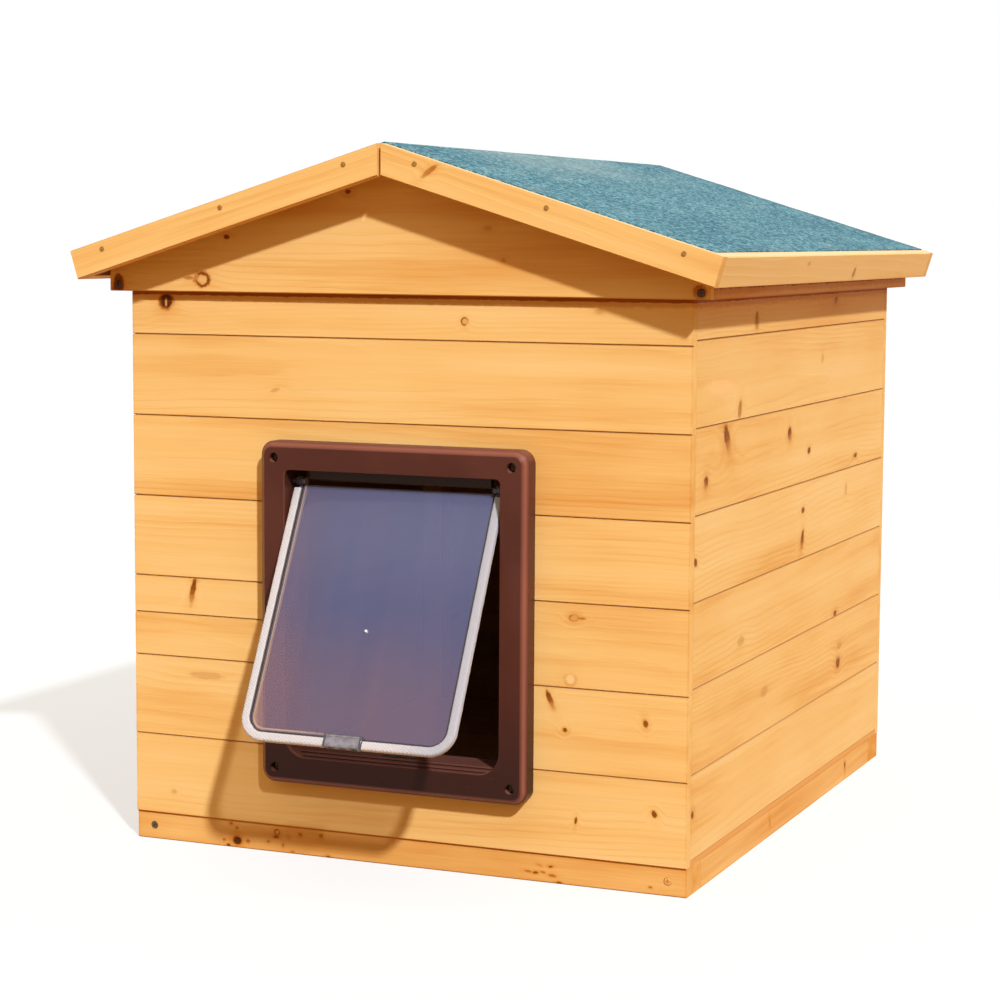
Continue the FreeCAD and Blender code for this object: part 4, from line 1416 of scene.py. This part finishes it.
@dataclass
class Base:
    """The batten base, its screws and the floor sheet."""

    battens: tuple[str, ...] = ("base_batten_front", "base_batten_back")
    sleepers: tuple[str, ...] = ("base_batten_left", "base_batten_right", "base_centre_joist")
    screw_x: float = 285.5 * MM
    screw_z: float = 14.5 * MM
    face_y: float = 365.5 * MM
    screw: Fastener = Fastener(4.0 * MM, 2.5 * MM, 2.0 * MM, 60 * MM, Recess.CROSS)
    steel: SteelFinish = SteelFinish(stain=0.55, filled_from=0.0)
    pine: PineFinish = PineFinish(tone=0.24)
    ply: PlyFinish = PlyFinish()
    batten_seed: int = 101
    sleeper_seed: int = 111
    floor_seed: int = 31

    def build(self) -> None:
        """Model the screws."""
        places = [((sign * self.screw_x, way * self.face_y, self.screw_z), turn)
                  for sign in (-1, 1) for way, turn in BOTH_ENDS]
        steel = self.steel.paint("base_screw_steel")
        self.screw.fit_set("base_screw_set", places, Body.BOX, steel, "base_screws")

    def dress(self) -> None:
        """Finish the battens and the floor."""
        for seed, node in enumerate(self.battens, start=self.batten_seed):
            spots = on_node(node, PLINTH_MARKS, 0) if node.endswith("front") else scattered(node, 0, seed)
            dress_board(node, self.pine, Grain.ACROSS, spots, seed)
        for seed, node in enumerate(self.sleepers, start=self.sleeper_seed):
            dress_board(node, self.pine, Grain.FORE_AND_AFT, scattered(node, 1, seed), seed)
        floor = "floor_sheet"
        dress(floor, self.ply.paint(floor, Lie.of_node(floor, Grain.ACROSS), self.floor_seed))


@dataclass(frozen=True)
class WallRun:
    """The boards of one wall.

    Attributes:
        start: how their names start.
        grain: which way their fibres run.
        inward: the way their unstained backs face; these get painted shade.
        seed: seed of the first board.
        spots: marks that the photograph shows.
        most: greatest number of scattered knots on a board where it shows none.
    """

    start: str
    grain: Grain
    inward: tuple[int, int, int]
    seed: int
    spots: tuple[Mark, ...] = ()
    most: int = 3


@dataclass
class Walls:
    """The tongue-and-groove boards and the corner posts."""

    pine: PineFinish = PineFinish()
    runs: tuple[WallRun, ...] = (
        WallRun("front_board", Grain.ACROSS, (0, 1, 0), 201, FRONT_MARKS),
        WallRun("right_board", Grain.FORE_AND_AFT, (-1, 0, 0), 221, RIGHT_MARKS),
        WallRun("left_board", Grain.FORE_AND_AFT, (1, 0, 0), 241),
        WallRun("back_boards", Grain.ACROSS, (0, -1, 0), 261, most=24),
    )
    post_seed: int = 262

    def dress(self) -> None:
        """Finish every board and the posts."""
        for run in self.runs:
            axis = 0 if run.grain is Grain.ACROSS else 1
            boards = sorted(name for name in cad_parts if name.startswith(run.start))
            for seed, node in enumerate(boards, start=run.seed):
                spots = on_node(node, run.spots, axis) if run.spots else scattered(node, axis, seed, run.most)
                # Painted shade under the lid's lower edge.
                spots += on_node(node, LID_SHADE_MARKS, axis)
                dress_board(node, self.pine, run.grain, spots, seed, run.inward)
        dress_board("corner_posts", self.pine, Grain.UPRIGHT, (), self.post_seed)


@dataclass
class RoofFelt:
    """The folded sheet of mineral felt."""

    pitch: float = ROOF_PITCH
    ridge_z: float = 724.4 * MM
    slope: float = 353.2 * MM
    half_length: float = 404 * MM
    thick: float = 2.5 * MM
    cell: float = 5 * MM
    ripple: Span = (90 * MM, 1.1 * MM)
    granules: Span = (5 * MM, 0.5 * MM)
    crease: float = 60
    finish: FeltFinish = FeltFinish()

    def build(self) -> None:
        """Fold a grid over the ridge, ripple it, roughen it and give it thickness."""
        Handwork.clear()
        bpy.ops.mesh.primitive_grid_add(x_subdivisions=2 * round(self.slope / self.cell),
                                        y_subdivisions=2 * round(self.half_length / self.cell),
                                        size=2, location=(0, 0, self.ridge_z))
        work = Handwork("roof_felt_sheet")
        work.piece.scale = (self.slope, self.half_length, 1)
        work.settle()
        for sign in (-1, 1):
            with work.editing(Pick.POINTS, lambda point: sign * point.co.x > SLACK):
                bpy.ops.transform.rotate(value=-sign * self.pitch, orient_axis="Y",
                                         center_override=(0, 0, self.ridge_z))
        work.roughen(*self.ripple)
        work.roughen(*self.granules)
        work.modify("SOLIDIFY", thickness=self.thick, offset=-1)
        work.tidy()
        work.smooth(self.crease)
        work.fit(Body.LID, "felt", self.finish.paint("mineral_felt"), "roof_felt")


@dataclass
class RoofLid:
    """The lift-off lid: rim, decks, trim and its fasteners."""

    screw_x: float = 315.5 * MM
    screw_z: float = 582.5 * MM
    gable_y: float = 378 * MM
    barge_y: float = 416 * MM
    nails: tuple[Span, ...] = ((38.0 * MM, 702.65 * MM), (174.5 * MM, 660.92 * MM), (311.0 * MM, 619.19 * MM))
    screw: Fastener = Fastener(4.0 * MM, 2.5 * MM, 2.0 * MM, 30 * MM, Recess.CROSS)
    nail: Fastener = Fastener(2.5 * MM, 0.8 * MM, 1.2 * MM, 12 * MM, Recess.PLAIN, 20)
    screw_steel: SteelFinish = SteelFinish((0.12, 0.040, 0.014), (0.035, 0.009, 0.003))
    nail_steel: SteelFinish = SteelFinish((0.42, 0.22, 0.050), (0.24, 0.100, 0.012), 0.35)
    pine: PineFinish = PineFinish(tone=0.46)
    gable: PineFinish = PineFinish(tone=0.44)
    # The fascias' pine is paler than the walls': painted light against the shade they get under the roof's
    # edge.
    edging: PineFinish = PineFinish(tone=0.74)
    inside: PineFinish = PineFinish(tone=0.40)
    # The decks' plywood is darker than the floor's: painted shade for their undersides under the eaves.
    ply: PlyFinish = PlyFinish((0.42, 0.24, 0.10), (0.28, 0.14, 0.05))
    felt: RoofFelt = field(default_factory=RoofFelt)
    gable_seed: int = 301
    eave_seed: int = 331
    rim_step: int = 5
    deck_step: int = 9
    ridge_seed: int = 351

    def build(self) -> None:
        """Model the felt, the gable screws and the nails."""
        self.felt.build()
        places = [((sign * self.screw_x, way * self.gable_y, self.screw_z), turn)
                  for sign in (-1, 1) for way, turn in BOTH_ENDS]
        steel = self.screw_steel.paint("gable_screw_steel")
        self.screw.fit_set("gable_screw_set", places, Body.LID, steel, "gable_screws")
        head_y = self.barge_y + self.nail.head_tall
        places = [((sign * x, way * head_y, z), turn)
                  for sign in (-1, 1) for x, z in self.nails for way, turn in BOTH_ENDS]
        steel = self.nail_steel.paint("nail_steel")
        self.nail.fit_set("bargeboard_nail_set", places, Body.LID, steel, "bargeboard_nails")

    def dress(self) -> None:
        """Finish the wooden pieces of the lid."""
        for seed, (end, inward) in enumerate((("front", 1), ("back", -1)), start=self.gable_seed):
            shown = end == "front"
            gable = f"gable_{end}"
            spots = on_node(gable, GABLE_MARKS, 0) if shown else scattered(gable, 0, seed)
            dress_board(gable, self.gable, Grain.ACROSS, spots, seed)
            for side, grain in (("left", Grain.DOWN_LEFT), ("right", Grain.DOWN_RIGHT)):
                node = f"bargeboard_{end}_{side}"
                spots = on_node(node, BARGE_MARKS, 0) if shown else ()
                dress_board(node, self.pine, grain, spots, seed + len(node), (0, inward, 0))
        along = Grain.FORE_AND_AFT
        for seed, (side, inward) in enumerate((("left", 1), ("right", -1)), start=self.eave_seed):
            fascia, rim, deck = f"eave_fascia_{side}", f"rim_batten_{side}", f"roof_deck_{side}"
            spots = on_node(fascia, FASCIA_MARKS, 1) if side == "right" else ()
            dress_board(fascia, self.edging, along, spots, seed, (inward, 0, 0))
            # The rim battens get painted shade under the fascias.
            dress_board(rim, self.inside, along, on_node(rim, RIM_SHADE_MARKS, 1), seed + self.rim_step)
            dress(deck, self.ply.paint(deck, Lie.of_node(deck, along), seed + self.deck_step))
        dress_board("ridge_batten", self.inside, along, (), self.ridge_seed)


@dataclass
class PetDoor:
    """The fixed frames of the pet door and their screws."""

    hole_x: float = 129.5 * MM
    hole_z: tuple[float, ...] = (95.7 * MM, 411.7 * MM)
    head_y: float = -383.5 * MM
    screw: Fastener = Fastener(4.0 * MM, 2.5 * MM, 2.0 * MM, 30 * MM, Recess.CROSS)
    steel: SteelFinish = SteelFinish(stain=0.9)
    plastic: MouldedPlastic = MouldedPlastic()
    magnet: MagnetFinish = MagnetFinish()

    def build(self) -> None:
        """Model the screws in the corner holes."""
        places = [((sign * self.hole_x, self.head_y, z), FRONT_TURN)
                  for sign in (-1, 1) for z in self.hole_z]
        steel = self.steel.paint("door_screw_steel")
        self.screw.fit_set("door_screw_set", places, Body.BOX, steel, "door_screws")

    def dress(self) -> None:
        """Finish the frames and the sill magnet."""
        dress("door_outer_frame", self.plastic.paint("door_outer_brown"))
        dress("door_inner_frame", self.plastic.paint("door_inner_brown"))
        dress("sill_magnet", self.magnet.paint("sill_magnet"))


@dataclass
class Flap:
    """The swinging flap, modelled hanging straight from its hinge line and then swung to rest."""

    hinge: tuple[float, float, float] = (0.0, -368 * MM, 387.2 * MM)
    swing: float = math.radians(-27.6)
    half: float = 114.5 * MM
    drop: float = 273.5 * MM
    corner: float = 26 * MM
    head: float = 4.5 * MM
    panel_half: float = 110 * MM
    panel_drop: float = 269 * MM
    panel_thick: float = 3 * MM
    panel_round: float = 0.5 * MM
    lug_radius: float = 4.5 * MM
    lug_length: float = 12 * MM
    lug_round: float = 0.7 * MM
    lug_sides: int = 32
    pin_radius: float = 2.5 * MM
    pin_length: float = 6.9 * MM
    seal_width: float = 9.3 * MM
    seal_thick: float = 7 * MM
    seal_round: float = 2.2 * MM
    seal_head: float = 8.7 * MM
    seal_run: float = 30 * MM
    seal_fluff: Span = (1.6 * MM, 0.7 * MM)
    seal_crease: float = 80
    seal_cuts: tuple[tuple[int, int], ...] = ((2, 120), (0, 34))
    clip_size: tuple[float, float, float] = (41 * MM, 10 * MM, 13.2 * MM)
    clip_round: float = 1.0 * MM
    clip_margin: float = 1.6 * MM
    clip_sunk: Span = (0.5 * MM, 0.6 * MM)
    smoke: SmokedSheet = SmokedSheet()
    pile: PileFinish = PileFinish()
    clear: ClearPlastic = ClearPlastic()
    magnet: MagnetFinish = MagnetFinish()

    def lie(self) -> Lie:
        """Return how the flap hangs at rest."""
        return Lie(self.hinge, (self.swing, 0.0, 0.0), (self.half, self.seal_thick / 2, self.drop))

    def build(self) -> None:
        """Model the panel, the pile seal and the clip."""
        self.build_panel()
        self.build_seal()
        self.build_clip()

    def mount(self, work: Handwork, slot: str, material: bpy.types.Material, node: str) -> None:
        """Swing a piece to rest and let it stand for its node.

        Args:
            work: the piece, hanging straight.
            slot: material slot of the record.
            material: its finish.
            node: node that it stands for.
        """
        work.hang(self.hinge, (self.swing, 0, 0))
        work.fit(Body.FLAP, slot, material, node)

    def build_panel(self) -> None:
        """Model the smoked panel with its hinge lugs and pins."""
        tall = self.panel_drop - self.head
        panel = Handwork.block("flap_smoked_panel", (2 * self.panel_half, self.panel_thick, tall),
                               (0, 0, -self.head - tall / 2))
        with panel.editing(Pick.EDGES, lambda edge: all(v.co.z < -self.head - SLACK for v in edge.verts)
                           and abs(edge.verts[0].co.x - edge.verts[1].co.x) < SAME):
            bpy.ops.mesh.bevel(offset=self.corner - self.seal_width / 2, segments=10)
        with panel.editing(Pick.EDGES, lambda edge: len({round(v.co.y, 6) for v in edge.verts}) == 1):
            bpy.ops.mesh.bevel(offset=self.panel_round, segments=2)
        for sign in (-1, 1):
            panel.combine(self.build_lug(sign), "UNION")
        panel.tidy()
        panel.smooth()
        self.mount(panel, "flap_smoke", self.smoke.paint("flap_smoke", self.lie()), "flap_panel")

    def build_lug(self, sign: int) -> Handwork:
        """Model one hinge lug with its pin.

        Args:
            sign: -1 for the left, 1 for the right.

        Returns:
            The lug.
        """
        lug = Handwork.rod("lug", self.lug_radius, self.lug_length, self.lug_sides)
        top = self.lug_length / 2
        with lug.editing(Pick.FACES, lambda face: face.normal.z > 0.9):
            bpy.ops.mesh.inset(thickness=self.lug_radius - self.pin_radius)
            bpy.ops.mesh.extrude_region_move(TRANSFORM_OT_translate={"value": (0, 0, self.pin_length)})
        with lug.editing(Pick.EDGES, lambda edge: all(abs(abs(v.co.z) - top) < SAME for v in edge.verts)
                         and abs(edge.verts[0].co.z - edge.verts[1].co.z) < SAME
                         and all(v.co.xy.length > 0.9 * self.lug_radius for v in edge.verts)):
            bpy.ops.mesh.bevel(offset=self.lug_round, segments=3)
        lug.hang((sign * (self.half - top), 0, 0), (0, sign * math.pi / 2, 0))
        return lug

    def build_seal(self) -> None:
        """Sweep the pile strip down a side, round the corner and along the foot, then mirror it."""
        middle = self.half - self.seal_width / 2
        turn_z = -(self.drop - self.corner)
        clip_side = self.clip_size[0] / 2 + SLACK
        Handwork.clear()
        bpy.ops.mesh.primitive_plane_add(size=1, location=(middle, 0, -self.seal_head))
        seal = Handwork("flap_pile_seal")
        seal.piece.scale = (self.seal_width, self.seal_thick, 1)
        seal.settle()
        with seal.editing(Pick.POINTS):
            bpy.ops.mesh.bevel(offset=self.seal_round, segments=3, affect="VERTICES")
            bpy.ops.mesh.delete(type="ONLY_FACE")
        with seal.editing(Pick.EDGES, lambda edge: edge.calc_length() > self.seal_round):
            bpy.ops.mesh.subdivide(number_cuts=2)
        drop = (0, 0, turn_z + self.seal_head)
        reach = (clip_side - (self.half - self.corner), 0, 0)
        with seal.editing(Pick.EDGES):
            bpy.ops.mesh.extrude_region_move(TRANSFORM_OT_translate={"value": drop})
            bpy.ops.mesh.spin(steps=16, angle=math.pi / 2, center=(self.half - self.corner, 0, turn_z),
                              axis=(0, -1, 0))
            bpy.ops.mesh.extrude_region_move(TRANSFORM_OT_translate={"value": reach})
        for axis, cuts in self.seal_cuts:
            with seal.editing(Pick.EDGES, lambda edge: self.is_run(edge, axis)):
                bpy.ops.mesh.subdivide(number_cuts=cuts)
        top, end = -self.seal_head - SLACK, clip_side + SLACK
        with seal.editing(Pick.EDGES, lambda edge: all(v.co.z > top for v in edge.verts)):
            bpy.ops.mesh.edge_face_add()
        with seal.editing(Pick.EDGES, lambda edge: all(v.co.x < end for v in edge.verts)):
            bpy.ops.mesh.edge_face_add()
        seal.tidy()
        seal.modify("MIRROR", use_axis=(True, False, False), use_mirror_merge=False)
        seal.roughen(*self.seal_fluff)
        seal.tidy()
        seal.smooth(self.seal_crease)
        self.mount(seal, "pile_seal", self.pile.paint("pile_strip", self.lie()), "flap_seal")

    def is_run(self, edge: bmesh.types.BMEdge, axis: int) -> bool:
        """Tell whether an edge is a long straight run.

        Args:
            edge: the edge.
            axis: the axis that it may run along.

        Returns:
            Whether it does.
        """
        step = edge.verts[1].co - edge.verts[0].co
        return abs(step[axis]) > self.seal_run and step.length - abs(step[axis]) < STRAIGHT

    def build_clip(self) -> None:
        """Model the clear clip with softened edges and a sunk panel on each face."""
        tall = self.clip_size[2]
        clip = Handwork.block("flap_clear_clip", self.clip_size, (0, 0, -self.drop + tall / 2))
        with clip.editing(Pick.EDGES):
            bpy.ops.mesh.bevel(offset=self.clip_round, segments=3)
        step_in, step_down = self.clip_sunk
        with clip.editing(Pick.FACES, lambda face: abs(face.normal.y) > 0.99):
            bpy.ops.mesh.inset(thickness=self.clip_margin, depth=0)
            bpy.ops.mesh.inset(thickness=step_in, depth=-step_down)
        clip.tidy()
        clip.smooth()
        self.mount(clip, "clip_clear", self.clear.paint("clip_clear", self.lie()), "flap_clip")

    def dress(self) -> None:
        """Finish the magnets."""
        dress("flap_magnets", self.magnet.paint("flap_magnet"))


@dataclass
class Studio:
    """Pale floor, soft light and the photograph's camera."""

    camera_place: tuple[float, float, float] = (1.05022, -2.60216, 0.63470)
    yaw: float = math.radians(22.852)
    pitch: float = math.radians(6.052)
    roll: float = math.radians(0.329)
    lens: float = 89.76
    sensor: float = 36.0
    sun_side: float = math.radians(42)
    sun_height: float = math.radians(38)
    sun_spread: float = math.radians(2.5)
    sun_strength: float = 3.42
    sun_distance: float = 4.0
    sun_colour: Colour = (1.0, 0.98, 0.95)
    sky: float = 1.15
    horizon: float = 0.05
    sky_colour: Colour = (1.0, 0.80, 0.54)
    floor_colour: Colour = (0.82, 0.88, 0.98)
    floor_bounce: Colour = (0.44, 0.225, 0.065)
    floor_glow: float = 0.62
    floor_size: float = 60.0
    fade: Span = (0.7, 2.4)

    def build(self) -> None:
        """Set up the stage."""
        scene = bpy.context.scene
        scene.view_settings.view_transform = "Standard"
        self.build_floor()
        self.build_world(scene)
        self.build_sun()
        self.build_camera(scene)

    def build_floor(self) -> None:
        """Lay the floor, which fades to the white of the backdrop and throws little light back."""
        Handwork.clear()
        bpy.ops.mesh.primitive_plane_add(size=self.floor_size)
        floor = Handwork("studio_floor").piece
        sheet = NodeSheet.named("studio_floor")
        across, deep, _ = sheet.parts(sheet.spot())
        away = (across * across + deep * deep).root().rise(*self.fade)
        seen = sheet.seen()
        colour = sheet.mix(seen, self.floor_bounce, self.floor_colour)
        matt = sheet.node("ShaderNodeBsdfPrincipled", None,
                          {"Base Color": colour, "Roughness": 0.9, "Specular IOR Level": 0.0})
        white = sheet.node("ShaderNodeEmission", None, {"Color": (1, 1, 1, 1)})
        share = seen * (self.floor_glow + away * (1.0 - self.floor_glow))
        sheet.close(sheet.node("ShaderNodeMixShader", None, {0: share, 1: matt, 2: white}))
        floor.data.materials.append(sheet.owner)

    def build_world(self, scene: bpy.types.Scene) -> None:
        """Light softly from above, with a white backdrop for the camera and for reflections.

        Args:
            scene: the scene that gets the world.
        """
        scene.world = bpy.data.worlds.new("studio")
        sheet = NodeSheet(scene.world)
        seen = sheet.seen()
        height = sheet.parts(Value(sheet, sheet.coordinates.outputs["Generated"]))[2].greater(0.0)
        dome = self.horizon + height * (self.sky - self.horizon)
        sockets = {"Color": sheet.mix(seen, self.sky_colour, (1.0, 1.0, 1.0)),
                   "Strength": seen + (1.0 - seen) * dome}
        sheet.close(sheet.node("ShaderNodeBackground", None, sockets), "ShaderNodeOutputWorld")

    def build_sun(self) -> None:
        """Hang the large soft lamp at the upper right of the front."""
        lamp = bpy.data.lights.new("key", "SUN")
        lamp.energy = self.sun_strength
        lamp.angle = self.sun_spread
        lamp.color = self.sun_colour
        key = bpy.data.objects.new("key", lamp)
        level = math.cos(self.sun_height)
        way = Vector((math.sin(self.sun_side) * level, -math.cos(self.sun_side) * level,
                      math.sin(self.sun_height)))
        key.rotation_euler = way.to_track_quat("Z", "Y").to_euler()
        key.location = self.sun_distance * way
        bpy.context.scene.collection.objects.link(key)

    def build_camera(self, scene: bpy.types.Scene) -> None:
        """Place the camera where the photograph was taken from.

        Args:
            scene: the scene that looks through it.
        """
        lens = bpy.data.cameras.new("photo_view")
        lens.lens = self.lens
        lens.sensor_width = self.sensor
        level = math.cos(self.pitch)
        ahead = Vector((-math.sin(self.yaw) * level, math.cos(self.yaw) * level, -math.sin(self.pitch)))
        right = Vector((math.cos(self.yaw), math.sin(self.yaw), 0))
        up = right.cross(ahead)
        side = math.cos(self.roll) * right + math.sin(self.roll) * up
        top = -math.sin(self.roll) * right + math.cos(self.roll) * up
        view = bpy.data.objects.new("photo_view", lens)
        turn = Matrix((side, top, -ahead)).transposed().to_4x4()
        view.matrix_world = Matrix.Translation(self.camera_place) @ turn
        scene.collection.objects.link(view)
        scene.camera = view


def main() -> None:
    """Build every part of the scene in order."""
    logging.basicConfig(level=logging.INFO, format="%(name)s: %(message)s")
    Studio().build()
    base, walls, lid, door, flap = Base(), Walls(), RoofLid(), PetDoor(), Flap()
    for part in (base, lid, door, flap):
        part.build()
    for part in (base, walls, lid, door, flap):
        part.dress()


if __name__ == "__main__":
    main()
